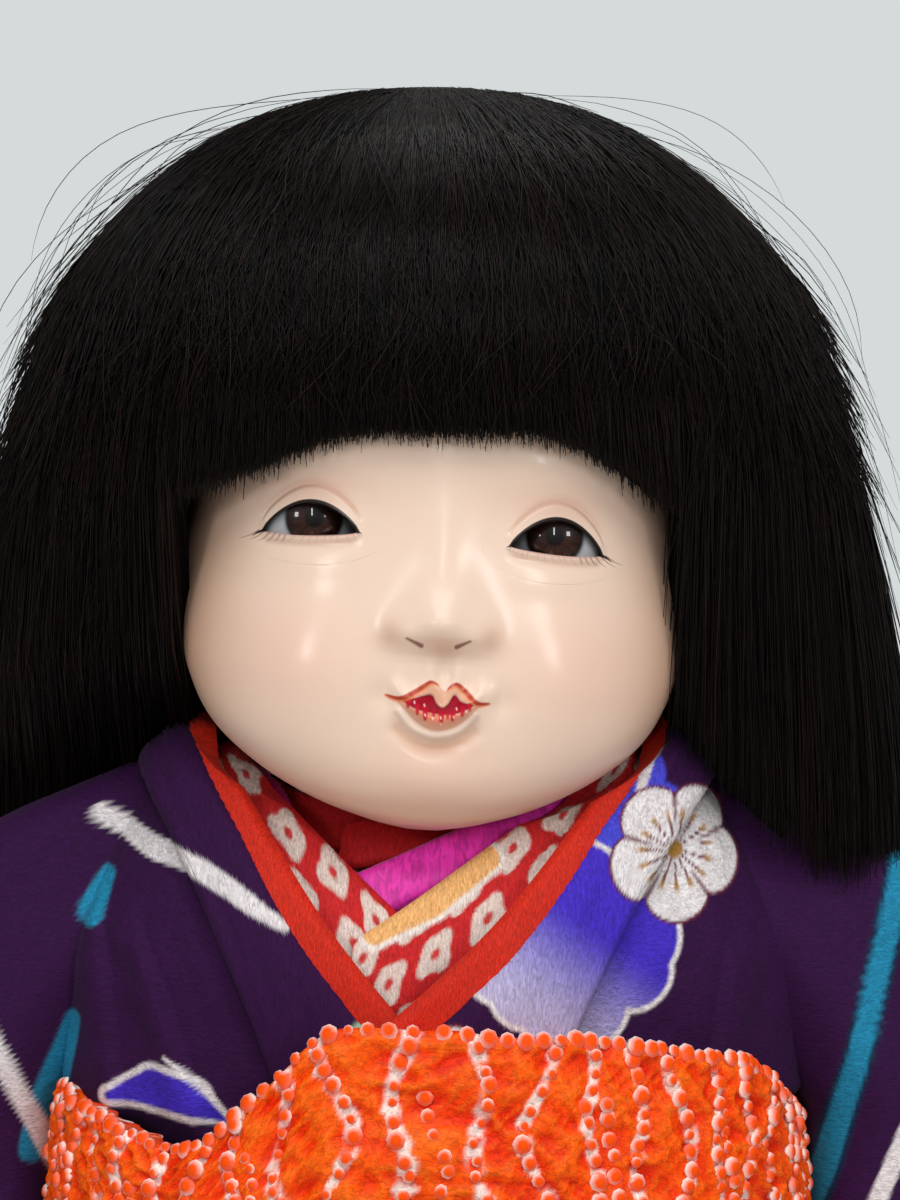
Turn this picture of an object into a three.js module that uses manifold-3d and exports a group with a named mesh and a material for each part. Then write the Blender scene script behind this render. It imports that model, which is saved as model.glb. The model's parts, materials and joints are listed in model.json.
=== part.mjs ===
// Ichimatsu doll: a jointed composition doll, dressed in kimono and standing in sandals.
// Millimetres, +Z up. The doll faces -Y, and its left hand is on +X.

import * as THREE from "three";
import { mergeVertices } from "three/addons/utils/BufferGeometryUtils.js";
import Module from "manifold-3d";

const wasm = await Module();
wasm.setup();

// Lengths stacked from the floor to the crown
const soleThickness = 9;
const footHeight = 20;
const shinLength = 82;
const thighLength = 56;
const hipLength = 62;
const midriffLength = 34;
const chestLength = 94;
const neckRise = 14;
const armDrop = 29;
const headHeight = 125;

// The figure under the clothes, as half widths and half depths
const skirtHalfWidth = 43;
const skirtHalfDepth = 36;
const hipHalfWidth = 45;
const hipHalfDepth = 34;
const waistHalfWidth = 43;
const waistHalfDepth = 29;
const chestHalfWidth = 45;
const chestHalfDepth = 29;
const neckMargin = 3;
const neckSlope = 9.5;
const figureSquareness = 2.4;
const slopeWidth = 0.9;
const yokeWidth = 0.685;

// Neck, arms and legs
const neckRadius = 13;
const neckPlugLength = 20;
const neckBore = 5;
const neckSetBack = 4;
const upperArmRadius = 7.5;
const forearmRadius = 7.5;
const elbowFall = 50;
const wristFall = 92;
const handLength = 30;
const palmHalfWidth = 8.4;
const palmHalfThickness = 4;
const fingerRadius = 2.1;
const fingerSpacing = 3.9;
const fingerStagger = 2.2;
const thumbRadius = 2.3;
const thighRadius = 16;
const calfRadius = 13;
const ankleRadius = 10.5;
const footLength = 46;
const footWidth = 22;
const legSpacing = 42;

// Head, seen from the front and from the side
const faceHalfWidth = 44.9;
const faceDepth = 48;
const skullDepth = 45;
const headWall = 6;
const headYaw = 2;
const headRoll = 3.4;
const noseRise = 6;
const noseHalfWidth = 9.5;
const lipRise = 2.4;
const mouthHalfWidth = 8.6;
const eyeRadius = 9.5;
const eyeSpacing = 41.2;
const eyeShift = -1;
const eyeHalfWidth = 8;
const eyeHalfHeight = 2.9;
const eyeRecess = 1.2;

// Hair
const hairThickness = 9;
const hairHalfWidth = 84;
const fringeThickness = 9;
const fringeArch = 8;
const backHairLength = 28;
const backHairDepth = 16;
const hairPartBehind = 22;
const faceWindowHalfWidth = 41;
const hairSeat = 3;
const napeFullness = 4;

// Cloth thicknesses, and the gap between one layer and the next
const layerGap = 0.8;
const thinCollar = 0.9;
const underKimonoThickness = 1.8;
const dottedCollarThickness = 1.1;
const kimonoThickness = 2.2;
const accentThickness = 1.1;
const kimonoCollarThickness = 1.6;
const cordThickness = 1.6;
const sashThickness = 6;

// Collar widths and crossings
const undershirtCollarWidth = 8;
const pinkCollarWidth = 8;
const dottedCollarWidth = 14;
const accentShown = 6;
const accentWidth = 13;
const collarShelf = 8;
const kimonoCollarWidth = 24;
const undershirtCrossing = 9;
const pinkCrossing = 14;
const dottedCrossing = 23.5;
const accentCrossing = 37.5;
const crossingOffset = -5;
const collarTuck = 9;
const innerTuck = 6;
const collarFold = 0.5;
const napeDrop = 2.6;

// Kimono, sleeves and sash
const hemRise = 22;
const hemRoll = 6;
const armholeClearance = 3.4;
const wrapStep = 1.6;
const wrapEdge = -34;
const sleeveLength = 222;
const sleeveRise = 24;
const sleeveReach = 112;
const sleeveHalfThickness = 17;
const sleeveThickness = 1.8;
const underSleeveThickness = 1.2;
const sleeveFold = 2.2;
const sleeveEase = 1.8;
const wristOpening = 58;
const sashHeight = 78;
const sashDip = 16;
const sashEase = 0.8;
const cordHeight = 10;
const knotWidth = 28;
const knotHeight = 30;
const knotDepth = 20;
const bowReach = 59;
const bowHeight = 50;
const bowDepth = 30;
const tailLength = 96;
const tailWidth = 34;
const tailThickness = 5;

// Sandals and split-toe socks
const sandalLength = 60;
const sandalWidth = 29;
const strapRadius = 2;
const sockThickness = 1.1;
const sockHeight = 24;
const toeGap = 1;
const soleBevel = 1;

// Fits between pieces
const clearance = 0.4;
const neckClearance = 0.5;
const swingClearance = 1;

// Heights that follow from the lengths
const sockLift = sockThickness + 2 * clearance;
const footBase = soleThickness + sockLift;
const ankleLevel = footBase + footHeight;
const kneeLevel = ankleLevel + shinLength;
const hipJointLevel = kneeLevel + thighLength;
const crotchLevel = hipJointLevel + thighRadius + swingClearance;
const waistLevel = crotchLevel + hipLength;
const ribLevel = waistLevel + midriffLength;
const shoulderLevel = ribLevel + chestLength;
const armLevel = shoulderLevel - armDrop;
const chinLevel = shoulderLevel - neckPlugLength + neckRise;
const noseLevel = chinLevel + headHeight * 0.305;
const hemLevel = soleThickness + hemRise;
const sashBase = waistLevel + 10;
const sashTop = sashBase + sashHeight;

// Layer offsets, counted outward from the figure
const undershirtLift = layerGap;
const pinkLift = undershirtLift + 2 * (thinCollar + layerGap);
const underKimonoLift = pinkLift + thinCollar + layerGap;
const dottedLift = underKimonoLift + underKimonoThickness + layerGap;
const kimonoLift = dottedLift + dottedCollarThickness + layerGap;
const cordLift = kimonoLift + kimonoThickness + wrapStep + layerGap;
const accentLift = kimonoLift + kimonoThickness + layerGap;
const kimonoCollarLift = accentLift + accentThickness + layerGap;
const outerCrossing = accentThickness + kimonoCollarThickness + 2 * layerGap;
const sashLift = cordLift + cordThickness + sashEase;
const sashFrontLift = kimonoCollarLift + outerCrossing + kimonoCollarThickness + sashEase;

// Finishes
const finish = {
  gofun: { color: 0xecd9ca, roughness: 0.25, metalness: 0 },
  glass: { color: 0x241410, roughness: 0.05, metalness: 0 },
  hair: { color: 0x14100f, roughness: 0.45, metalness: 0 },
  cotton: { color: 0xe9e2d6, roughness: 0.95, metalness: 0 },
  white: { color: 0xf1efea, roughness: 0.9, metalness: 0 },
  red: { color: 0xc02426, roughness: 0.75, metalness: 0 },
  pink: { color: 0xe23fb0, roughness: 0.45, metalness: 0 },
  vermilion: { color: 0xd8361c, roughness: 0.8, metalness: 0 },
  purple: { color: 0x2c1240, roughness: 0.85, metalness: 0 },
  orange: { color: 0xee5a1a, roughness: 0.7, metalness: 0 },
  straw: { color: 0xc99a5b, roughness: 0.8, metalness: 0 },
};

// A value that runs smoothly through stations of [position, value]
function runThrough(stations) {
  const slopes = stations.map((station, index) => {
    const before = stations[Math.max(index - 1, 0)];
    const after = stations[Math.min(index + 1, stations.length - 1)];
    return (after[1] - before[1]) / (after[0] - before[0]);
  });
  return (position) => {
    const last = stations.length - 1;
    const at = THREE.MathUtils.clamp(position, stations[0][0], stations[last][0]);
    let index = 0;
    while (index < last - 1 && at > stations[index + 1][0]) index += 1;
    const [start, low] = stations[index];
    const [end, high] = stations[index + 1];
    const span = end - start;
    const t = (at - start) / span;
    const rise = t * t * (3 - 2 * t);
    const lead = t * (1 - t) * (1 - t) * span * slopes[index];
    const trail = t * t * (t - 1) * span * slopes[index + 1];
    return low + (high - low) * rise + lead + trail;
  };
}

function turned(count, skip = []) {
  const angles = [];
  for (let step = 0; step < count; step += 1) {
    angles.push((step / count) * 2 * Math.PI - Math.PI);
  }
  return [...angles, ...skip].sort((a, b) => a - b);
}

// A point on a rounded section: angle 0 looks to the front, and the angle grows towards +X
function ovalPoint(angle, halfWidth, front, back, squareness) {
  const side = Math.sin(angle);
  const ahead = Math.cos(angle);
  const power = 2 / squareness;
  const depth = ahead > 0 ? front : back;
  const x = halfWidth * Math.sign(side) * Math.abs(side) ** power;
  const y = -depth * Math.sign(ahead) * Math.abs(ahead) ** power;
  return [x, y];
}

function bareGeometry(points, faces) {
  const geometry = new THREE.BufferGeometry();
  const numbers = points.flatMap((point) => [point.x, point.y, point.z]);
  geometry.setAttribute("position", new THREE.Float32BufferAttribute(numbers, 3));
  geometry.setIndex(faces.flat());
  return geometry;
}

function signedVolume(points, faces) {
  return faces.reduce((sum, [a, b, c]) => {
    return sum + points[a].dot(new THREE.Vector3().crossVectors(points[b], points[c])) / 6;
  }, 0);
}

function facingOut(points, faces) {
  const outward = signedVolume(points, faces) > 0;
  return bareGeometry(points, outward ? faces : faces.map(([a, b, c]) => [a, c, b]));
}

// Skins a list of equal rings. A closed loft runs from its last ring back to its first.
function loft(rings, closed = false) {
  const size = rings[0].length;
  const points = rings.flat();
  const faces = [];
  const spans = closed ? rings.length : rings.length - 1;
  for (let row = 0; row < spans; row += 1) {
    const low = row * size;
    const high = ((row + 1) % rings.length) * size;
    for (let column = 0; column < size; column += 1) {
      const next = (column + 1) % size;
      faces.push([low + column, low + next, high + next]);
      faces.push([low + column, high + next, high + column]);
    }
  }
  if (!closed) {
    for (const [start, turn] of [[0, true], [(rings.length - 1) * size, false]]) {
      const middle = new THREE.Vector3();
      for (let column = 0; column < size; column += 1) {
        middle.addScaledVector(points[start + column], 1 / size);
      }
      const hub = points.push(middle) - 1;
      for (let column = 0; column < size; column += 1) {
        const pair = [start + column, start + ((column + 1) % size)];
        faces.push(turn ? [hub, pair[1], pair[0]] : [hub, pair[0], pair[1]]);
      }
    }
  }
  return facingOut(points, faces);
}

// A wall between an outer and an inner list of rings, open at both ends
function wall(outer, inner) {
  return loft([...outer, ...inner.slice().reverse()], true);
}

function levels(from, to, count) {
  return Array.from({ length: count + 1 }, (_, step) => THREE.MathUtils.lerp(from, to, step / count));
}

function solidOf(geometry) {
  const bare = geometry.clone();
  bare.deleteAttribute("normal");
  bare.deleteAttribute("uv");
  const merged = mergeVertices(bare, 1e-4);
  const vertProperties = new Float32Array(merged.attributes.position.array);
  const triVerts = new Uint32Array(merged.index.array);
  const mesh = new wasm.Mesh({ numProp: 3, vertProperties, triVerts });
  mesh.merge();
  return new wasm.Manifold(mesh);
}

function geometryOf(solid) {
  const mesh = solid.getMesh();
  const geometry = new THREE.BufferGeometry();
  geometry.setAttribute("position", new THREE.BufferAttribute(mesh.vertProperties, 3));
  geometry.setIndex(new THREE.BufferAttribute(mesh.triVerts, 1));
  return geometry;
}

function cut(body, ...tools) {
  return geometryOf(tools.reduce((solid, tool) => solid.subtract(solidOf(tool)), solidOf(body)));
}

function join(body, ...others) {
  return geometryOf(others.reduce((solid, other) => solid.add(solidOf(other)), solidOf(body)));
}

function shared(body, ...tools) {
  return geometryOf(tools.reduce((solid, tool) => solid.intersect(solidOf(tool)), solidOf(body)));
}

function box(low, high) {
  const size = high.map((value, axis) => value - low[axis]);
  const middle = high.map((value, axis) => (value + low[axis]) / 2);
  return new THREE.BoxGeometry(...size).translate(...middle);
}

function rod(radius, length, sides = 24) {
  return new THREE.CylinderGeometry(radius, radius, length, sides);
}

// A round limb along a curve, with a radius at each station from 0 to 1
function limb(path, radiusAt, steps, sides) {
  const frames = path.computeFrenetFrames(steps, false);
  const rings = levels(0, 1, steps).map((t, step) => {
    const centre = path.getPointAt(t);
    return turned(sides).map((angle) => centre.clone()
      .addScaledVector(frames.normals[step], Math.cos(angle) * radiusAt(t))
      .addScaledVector(frames.binormals[step], Math.sin(angle) * radiusAt(t)));
  });
  return loft(rings);
}

function curve(points) {
  return new THREE.CatmullRomCurve3(points.map((point) => new THREE.Vector3(...point)));
}

// The figure's section at a height, grown by the layers that lie on it
const shoulderDrop = shoulderLevel - armLevel;
const figureLevels = {
  skirt: hemLevel,
  knee: kneeLevel,
  hip: crotchLevel,
  waist: waistLevel,
  rib: ribLevel,
  chest: armLevel - 12,
  shoulder: armLevel + shoulderDrop * 0.12,
  slope: armLevel + shoulderDrop * 0.6,
  yoke: armLevel + shoulderDrop * 0.86,
  neck: shoulderLevel,
};

function figureRun(values) {
  const names = Object.keys(figureLevels);
  return runThrough(names.map((name, index) => [figureLevels[name], values[index]]));
}

const figureWidth = figureRun([
  skirtHalfWidth,
  skirtHalfWidth + 1,
  hipHalfWidth,
  waistHalfWidth,
  waistHalfWidth,
  chestHalfWidth - 1,
  chestHalfWidth,
  chestHalfWidth * slopeWidth,
  chestHalfWidth * yokeWidth,
  neckRadius + neckSlope,
]);
const figureFront = figureRun([skirtHalfDepth, skirtHalfDepth, hipHalfDepth, waistHalfDepth, waistHalfDepth,
  chestHalfDepth, chestHalfDepth * 0.94, chestHalfDepth * 0.7, chestHalfDepth * 0.52,
  neckRadius - neckSetBack + neckMargin]);
const figureBack = figureRun([skirtHalfDepth, skirtHalfDepth, hipHalfDepth, waistHalfDepth, waistHalfDepth,
  chestHalfDepth - 1, chestHalfDepth * 0.96, chestHalfDepth * 0.86, chestHalfDepth * 0.78,
  neckRadius + neckSetBack + neckMargin]);
const shoulderRise = runThrough([[ribLevel, 0], [armLevel, 0.15], [shoulderLevel, 1]]);

function figurePoint(angle, level, lift) {
  const width = figureWidth(level) + lift;
  const front = figureFront(level) + lift;
  const back = figureBack(level) + lift;
  const [x, y] = ovalPoint(angle, width, front, back, figureSquareness);
  return new THREE.Vector3(x, y, level + lift * shoulderRise(level));
}

// The angle at which the front of a layer crosses a given X
function frontAngle(x, level, lift) {
  const share = Math.min(Math.abs(x) / (figureWidth(level) + lift), 1);
  return Math.sign(x) * Math.asin(share ** (figureSquareness / 2));
}

function figureRing(level, lift, angles) {
  return angles.map((angle) => figurePoint(angle, level, typeof lift === "function" ? lift(angle) : lift));
}

// The head's section at a height above or below the nose, in its own frame
const crownRise = headHeight * 0.692;
const chinFall = headHeight * 0.305;
const headLevels = [
  -1, -0.97, -0.89, -0.76, -0.58, -0.37, -0.16, 0.05,
  0.16, 0.35, 0.52, 0.69, 0.83, 0.925, 0.98, 1,
].map((share) => (share < 0 ? share * chinFall : share * crownRise));

function headRun(shares, size) {
  return runThrough(headLevels.map((level, index) => [level, shares[index] * size]));
}

const headWidth = headRun([
  0.075, 0.197, 0.4, 0.59, 0.785, 0.92, 0.982, 1,
  1, 0.985, 0.94, 0.84, 0.66, 0.44, 0.21, 0.06,
], faceHalfWidth);
const headFront = headRun([
  -0.72, -0.84, -0.91, -0.955, -0.985, -1, -1, -0.99,
  -0.985, -0.98, -0.93, -0.78, -0.56, -0.31, -0.07, 0.04,
], faceDepth);
const headMiddle = headRun([
  -0.67, -0.66, -0.64, -0.6, -0.53, -0.42, -0.29, -0.16,
  -0.08, 0, 0, 0.04, 0.08, 0.1, 0.1, 0.1,
], faceDepth);
const headBack = headRun([
  -0.68, -0.61, -0.55, -0.48, -0.32, 0.1, 0.55, 0.84,
  0.93, 1, 1, 0.91, 0.73, 0.49, 0.27, 0.16,
], skullDepth);

// The relief of the face: how far the surface stands out in front of the plain head
const eyeLevel = chinFall * 0.34;
const noseTip = -chinFall * 0.09;
const mouthLevel = -chinFall * 0.465;

function hill(distance, spread) {
  return Math.exp(-((distance / spread) ** 2));
}

function faceRelief(x, level) {
  const bridge = THREE.MathUtils.smoothstep(level, noseTip - 4.5, noseTip + 1);
  const fade = 1 - THREE.MathUtils.smoothstep(level, noseTip + 3, eyeLevel + 5) * 0.8;
  const brow = 1 - THREE.MathUtils.smoothstep(level, eyeLevel + 3, eyeLevel + 14);
  const ridge = noseRise * bridge * fade * brow * hill(x, 4.2 + 1.3 * bridge);
  const wings = noseRise * 0.42 * hill(Math.abs(x) - noseHalfWidth * 0.62, 3) * hill(level - noseTip + 2, 4);
  const fullness = hill(level - mouthLevel - 2.4, 2.6) + hill(level - mouthLevel + 3, 2.6);
  const lips = lipRise * hill(x, mouthHalfWidth) * fullness;
  const sockets = -1.3 * hill(Math.abs(x) - eyeSpacing / 2 + 6, 8) * hill(level - eyeLevel - 1, 6);
  const cheeks = 1.4 * hill(Math.abs(x) - 25, 13) * hill(level - mouthLevel - 5, 13);
  const chin = 1.8 * hill(x, 11) * hill(level + chinFall * 0.76, 6);
  return ridge + wings + lips + sockets + cheeks + chin;
}

function headPoint(angle, level, grow, relief) {
  const middle = headMiddle(level);
  const front = middle - headFront(level) + grow;
  const back = headBack(level) - middle + grow;
  const [x, y] = ovalPoint(angle, headWidth(level) + grow, front, back, figureSquareness - 0.1);
  const facing = Math.max(Math.cos(angle), 0);
  return new THREE.Vector3(x, y + middle - relief * faceRelief(x, level) * Math.sqrt(facing), level);
}

const faceAngles = [0, 4, 8, 12, 17, 22, 28, 35, 43, 53, 67, 86, 110, 142, 180]
  .flatMap((degrees) => (degrees % 180 === 0 ? [degrees] : [-degrees, degrees]))
  .sort((a, b) => a - b)
  .map((degrees) => THREE.MathUtils.degToRad(degrees));

const faceRows = [
  ...levels(-chinFall, mouthLevel - 6, 5),
  ...levels(mouthLevel - 4, noseTip + 2, 8),
  ...levels(noseTip + 5, eyeLevel + 8, 4),
  ...levels(eyeLevel + 16, crownRise, 7),
];

// Turns and tips whatever belongs to the head, about the neck's axis
const headTurn = new THREE.Matrix4()
  .makeTranslation(0, neckSetBack, noseLevel)
  .multiply(new THREE.Matrix4().makeRotationZ(THREE.MathUtils.degToRad(headYaw)))
  .multiply(new THREE.Matrix4().makeRotationY(THREE.MathUtils.degToRad(headRoll)))
  .multiply(new THREE.Matrix4().makeTranslation(0, -neckSetBack, 0));

function eyeCentre(side) {
  const x = eyeShift + (side * eyeSpacing) / 2;
  const share = Math.abs(x) / headWidth(eyeLevel);
  const squareness = figureSquareness - 0.1;
  const skin = headMiddle(eyeLevel)
    + (headFront(eyeLevel) - headMiddle(eyeLevel)) * (1 - share ** squareness) ** (1 / squareness);
  return new THREE.Vector3(x, skin - faceRelief(x, eyeLevel) + eyeRecess + eyeRadius, eyeLevel);
}

function eyeSlit(side) {
  const outline = new THREE.Shape();
  outline.moveTo(-eyeHalfWidth, 0);
  outline.quadraticCurveTo(side * eyeHalfWidth * 0.2, eyeHalfHeight * 2.3, eyeHalfWidth, 0);
  outline.quadraticCurveTo(0, -eyeHalfHeight * 1.4, -eyeHalfWidth, 0);
  const depth = faceDepth;
  const slit = new THREE.ExtrudeGeometry(outline, { depth, bevelEnabled: false, curveSegments: 5 });
  const centre = eyeCentre(side);
  return slit.rotateX(Math.PI / 2).translate(centre.x, centre.y, centre.z);
}

function eyeBall(grow, around, down) {
  return new THREE.SphereGeometry(eyeRadius + grow, around, down).rotateX(Math.PI / 2);
}

function makeHead() {
  const skin = loft(faceRows.map((level) => faceAngles.map((angle) => headPoint(angle, level, 0, 1))));
  const plugTop = headBack(0) * 0.2 - chinFall * 0.2;
  const plugBase = shoulderLevel - neckPlugLength - noseLevel;
  const plug = rod(neckRadius, plugTop - plugBase, 20).rotateX(Math.PI / 2)
    .translate(0, neckSetBack, (plugTop + plugBase) / 2);
  const hollowRows = levels(-chinFall * 0.35, crownRise - headWall, 6);
  const hollowRing = turned(16);
  const hollow = loft(hollowRows.map((level) => (
    hollowRing.map((angle) => headPoint(angle, level, -headWall, 0))
  )));
  const bore = rod(neckBore, headHeight, 10).rotateX(Math.PI / 2)
    .translate(0, neckSetBack, plugBase - 1 + headHeight / 2 - 1);
  const tip = headTurn.clone();
  const upright = new THREE.Matrix4().makeTranslation(0, 0, noseLevel);
  const sockets = [-1, 1].flatMap((side) => {
    const centre = eyeCentre(side);
    return [eyeBall(clearance, 12, 8).translate(centre.x, centre.y, centre.z), eyeSlit(side)];
  });
  const shell = cut(skin, hollow, ...sockets).applyMatrix4(tip);
  return cut(join(shell, plug.applyMatrix4(upright)), bore.applyMatrix4(upright));
}

function makeEye(side) {
  const centre = eyeCentre(side);
  return eyeBall(0, 12, 8).translate(centre.x, centre.y, centre.z).applyMatrix4(headTurn);
}

// Hair: one cut mass over the head and behind the shoulders, parted into fringe, sides and back
const hairBase = armLevel + sleeveRise + swingClearance;
const hairTop = noseLevel + crownRise + hairThickness;
const hairLevels = [0, 0.14, 0.3, 0.44, 0.58, 0.72, 0.85, 0.94, 0.985, 1]
  .map((share) => THREE.MathUtils.lerp(hairBase, hairTop, share));

function hairRun(shares, size) {
  return runThrough(hairLevels.map((level, index) => [level, shares[index] * size]));
}

const fringeFront = faceDepth + fringeThickness;
const hairBehind = skullDepth + hairThickness + napeFullness;
const hairWidth = hairRun([1, 0.985, 0.95, 0.9, 0.845, 0.76, 0.6, 0.41, 0.2, 0.06], hairHalfWidth);
const hairFront = hairRun([0.42, 0.5, 0.62, 0.82, 1, 0.97, 0.72, 0.42, 0.16, 0.02], fringeFront);
const hairBack = hairRun([1.04, 1.06, 1.06, 1.05, 1.03, 0.98, 0.8, 0.54, 0.28, 0.12], hairBehind);
const hairRing = turned(24);
const fringeLevel = noseLevel + headHeight * 0.225;

function hairSection(level) {
  return hairRing.map((angle) => {
    const [x, y] = ovalPoint(angle, hairWidth(level), hairFront(level), hairBack(level), figureSquareness);
    return new THREE.Vector3(x, y, level);
  });
}

function faceWindow() {
  const outline = new THREE.Shape();
  const half = faceWindowHalfWidth;
  const low = hairBase - 1;
  outline.moveTo(-half + 1, low);
  outline.lineTo(-half, fringeLevel - fringeArch);
  outline.quadraticCurveTo(0, fringeLevel + fringeArch, half, fringeLevel - fringeArch);
  outline.lineTo(half - 1, low);
  const depth = hairHalfWidth;
  const settings = { depth, bevelEnabled: false, curveSegments: 10 };
  return new THREE.ExtrudeGeometry(outline, settings).rotateX(Math.PI / 2).translate(0, -faceDepth * 0.1, 0);
}

function hairMass() {
  const crown = loft(levels(hairBase, hairTop, 10).map(hairSection));
  const headRoom = loft(levels(-chinFall, crownRise, 12).map((level) => turned(24)
    .map((angle) => headPoint(angle, level, hairSeat, 0)))).applyMatrix4(headTurn);
  const nape = hairBack(hairBase) - backHairDepth;
  const throat = loft([hairBase - 1, noseLevel - chinFall * 0.12].map((level) => turned(24).map((angle) => {
    const [x, y] = ovalPoint(angle, faceHalfWidth + 2, hairHalfWidth, nape, figureSquareness + 1);
    return new THREE.Vector3(x, y, level);
  })));
  const shoulderLift = kimonoCollarLift + kimonoCollarThickness + swingClearance + clearance;
  const shoulderRoom = loft(levels(hairBase - backHairLength - 2, shoulderLevel, 6)
    .map((level) => figureRing(level, shoulderLift, turned(18))));
  const hang = loft(levels(0, 1, 3).map((share) => {
    const level = hairBase + 3 - share * (backHairLength + 3);
    return hairRing.map((angle) => {
      const half = hairHalfWidth * (1 - 0.1 * share ** 2);
      const [x, y] = ovalPoint(angle, half, backHairDepth, hairBack(hairBase), figureSquareness);
      return new THREE.Vector3(x, y, level);
    });
  }));
  const wide = 2 * hairHalfWidth;
  const ahead = box([-wide, -wide, 0], [wide, hairPartBehind, hairTop]);
  const bob = cut(crown, headRoom, throat, shoulderRoom, faceWindow());
  return join(bob, cut(hang, ahead, throat, shoulderRoom));
}

function makeHair() {
  const mass = hairMass();
  const wide = hairHalfWidth * 2;
  const gap = clearance / 2;
  const fringeDepth = -faceDepth * 0.3;
  const fringeHalf = faceWindowHalfWidth + 3;
  const fringeLow = fringeLevel - fringeArch - 1;
  const top = hairTop + 1;
  const low = hairBase - backHairLength * 2;
  const ahead = box([-fringeHalf - gap, -wide, fringeLow - gap], [fringeHalf + gap, fringeDepth + gap, top]);
  const middle = box([-fringeHalf + gap, -wide, fringeLow], [fringeHalf - gap, fringeDepth - gap, top]);
  const sideBox = (side) => {
    const from = side > 0 ? gap : -wide;
    const to = side > 0 ? wide : -gap;
    return box([from, -wide, low], [to, hairPartBehind - gap, top]);
  };
  return {
    fringe: shared(mass, middle),
    left: cut(shared(mass, sideBox(1)), ahead),
    right: cut(shared(mass, sideBox(-1)), ahead),
    back: shared(mass, box([-wide, hairPartBehind + gap, low], [wide, wide, top])),
  };
}

// Torso: chest shell with the neck's socket, cloth midriff and hip shell
const torsoAngles = turned(20);

function torsoPiece(from, to, rows) {
  return loft(levels(from, to, rows).map((level) => figureRing(level, 0, torsoAngles)));
}

function makeChest() {
  const depth = neckPlugLength + clearance;
  const socket = rod(neckRadius + neckClearance, depth * 2, 20).rotateX(Math.PI / 2)
    .translate(0, neckSetBack, shoulderLevel);
  const collarbone = torsoPiece(ribLevel + clearance, shoulderLevel, 9);
  return cut(collarbone, socket);
}

// Arms: a cloth upper arm sewn into the shoulder, and a composition forearm with the hand
const shoulderSide = figureWidth(armLevel);
const sleeveInside = chestHalfWidth + kimonoLift + kimonoThickness + swingClearance;
const armSpread = sleeveReach - sleeveInside;
const sleeveTop = armLevel + sleeveRise;
const sleeveFoot = sleeveTop - sleeveLength;
const sleeveSkin = sleeveThickness + sleeveEase + underSleeveThickness;
const sashSide = Math.max(figureWidth(sashBase), figureWidth(armLevel - 12)) + sashLift + sashThickness + 1;
const sleeveClear = Math.max(sashSide, sleeveInside) + swingClearance;
const sleeveSwing = runThrough([[sleeveFoot, -4], [armLevel - 90, -7], [armLevel - 20, -1], [sleeveTop, 0]]);

// A point inside the sleeve, at a share of the arm's spread and a fall below the shoulder
function armPoint(share, fall) {
  return [sleeveInside + armSpread * share, sleeveSwing(armLevel - fall), armLevel - fall];
}

const elbow = armPoint(0.55, elbowFall);
const wrist = armPoint(0.84, wristFall);

function armPath() {
  return curve([
    [shoulderSide + clearance, 0, armLevel],
    [sleeveClear + sleeveSkin - upperArmRadius * 0.8, 0, armLevel],
    [sleeveClear + sleeveSkin + upperArmRadius * 0.66, 0, armLevel - elbowFall * 0.02],
    armPoint(0.49, elbowFall * 0.18),
    armPoint(0.53, elbowFall * 0.52),
    elbow,
  ]);
}

function makeUpperArm(side) {
  const arm = limb(armPath(), () => upperArmRadius, 9, 10);
  return sided(arm, side);
}

// Mirrors a piece made for the doll's left side to its right side
function sided(geometry, side) {
  if (side > 0) return geometry;
  const mirrored = geometry.clone().scale(-1, 1, 1);
  const index = mirrored.index.array;
  for (let face = 0; face < index.length; face += 3) {
    [index[face + 1], index[face + 2]] = [index[face + 2], index[face + 1]];
  }
  return mirrored;
}

function makeForearm(side) {
  const down = new THREE.Vector3(...wrist).sub(new THREE.Vector3(...elbow)).normalize();
  const start = new THREE.Vector3(...elbow).addScaledVector(down, clearance + forearmRadius * 0.3);
  const end = new THREE.Vector3(...wrist);
  const length = end.distanceTo(start);
  const arm = new THREE.LatheGeometry([[0, 0], [forearmRadius, 0], [forearmRadius * 1.05, length * 0.35],
    [forearmRadius * 0.72, length], [0, length]].map(([x, y]) => new THREE.Vector2(x, y)), 14);
  const palmRuns = [[-0.07, 0.64, 1.15], [0.13, 0.88, 1.08], [0.37, 1, 1], [0.5, 0.95, 0.9]];
  const palmRings = palmRuns.map(([along, wide, thick]) => turned(14).map((angle) => {
    const half = wide * palmHalfWidth;
    const [x, z] = ovalPoint(angle, thick * palmHalfThickness, half, half, 2.6);
    return new THREE.Vector3(x, length + along * handLength, z);
  }));
  const fingers = [-1.5, -0.5, 0.5, 1.5].map((place) => {
    const reach = handLength / 2 - Math.abs(place - 0.3) * fingerStagger;
    return new THREE.CapsuleGeometry(fingerRadius, reach, 1, 6)
      .translate(0, length + handLength * 0.43 + reach / 2, place * fingerSpacing);
  });
  const thumb = new THREE.CapsuleGeometry(thumbRadius, handLength * 0.34, 1, 6).rotateX(-0.45)
    .translate(-palmHalfThickness / 4, length + handLength * 0.3, -palmHalfWidth * 1.1);
  const hand = join(arm, loft(palmRings), ...fingers, thumb);
  const turn = new THREE.Quaternion().setFromUnitVectors(new THREE.Vector3(0, 1, 0), down);
  hand.applyQuaternion(turn).translate(start.x, start.y, start.z);
  return sided(hand, side);
}

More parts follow.
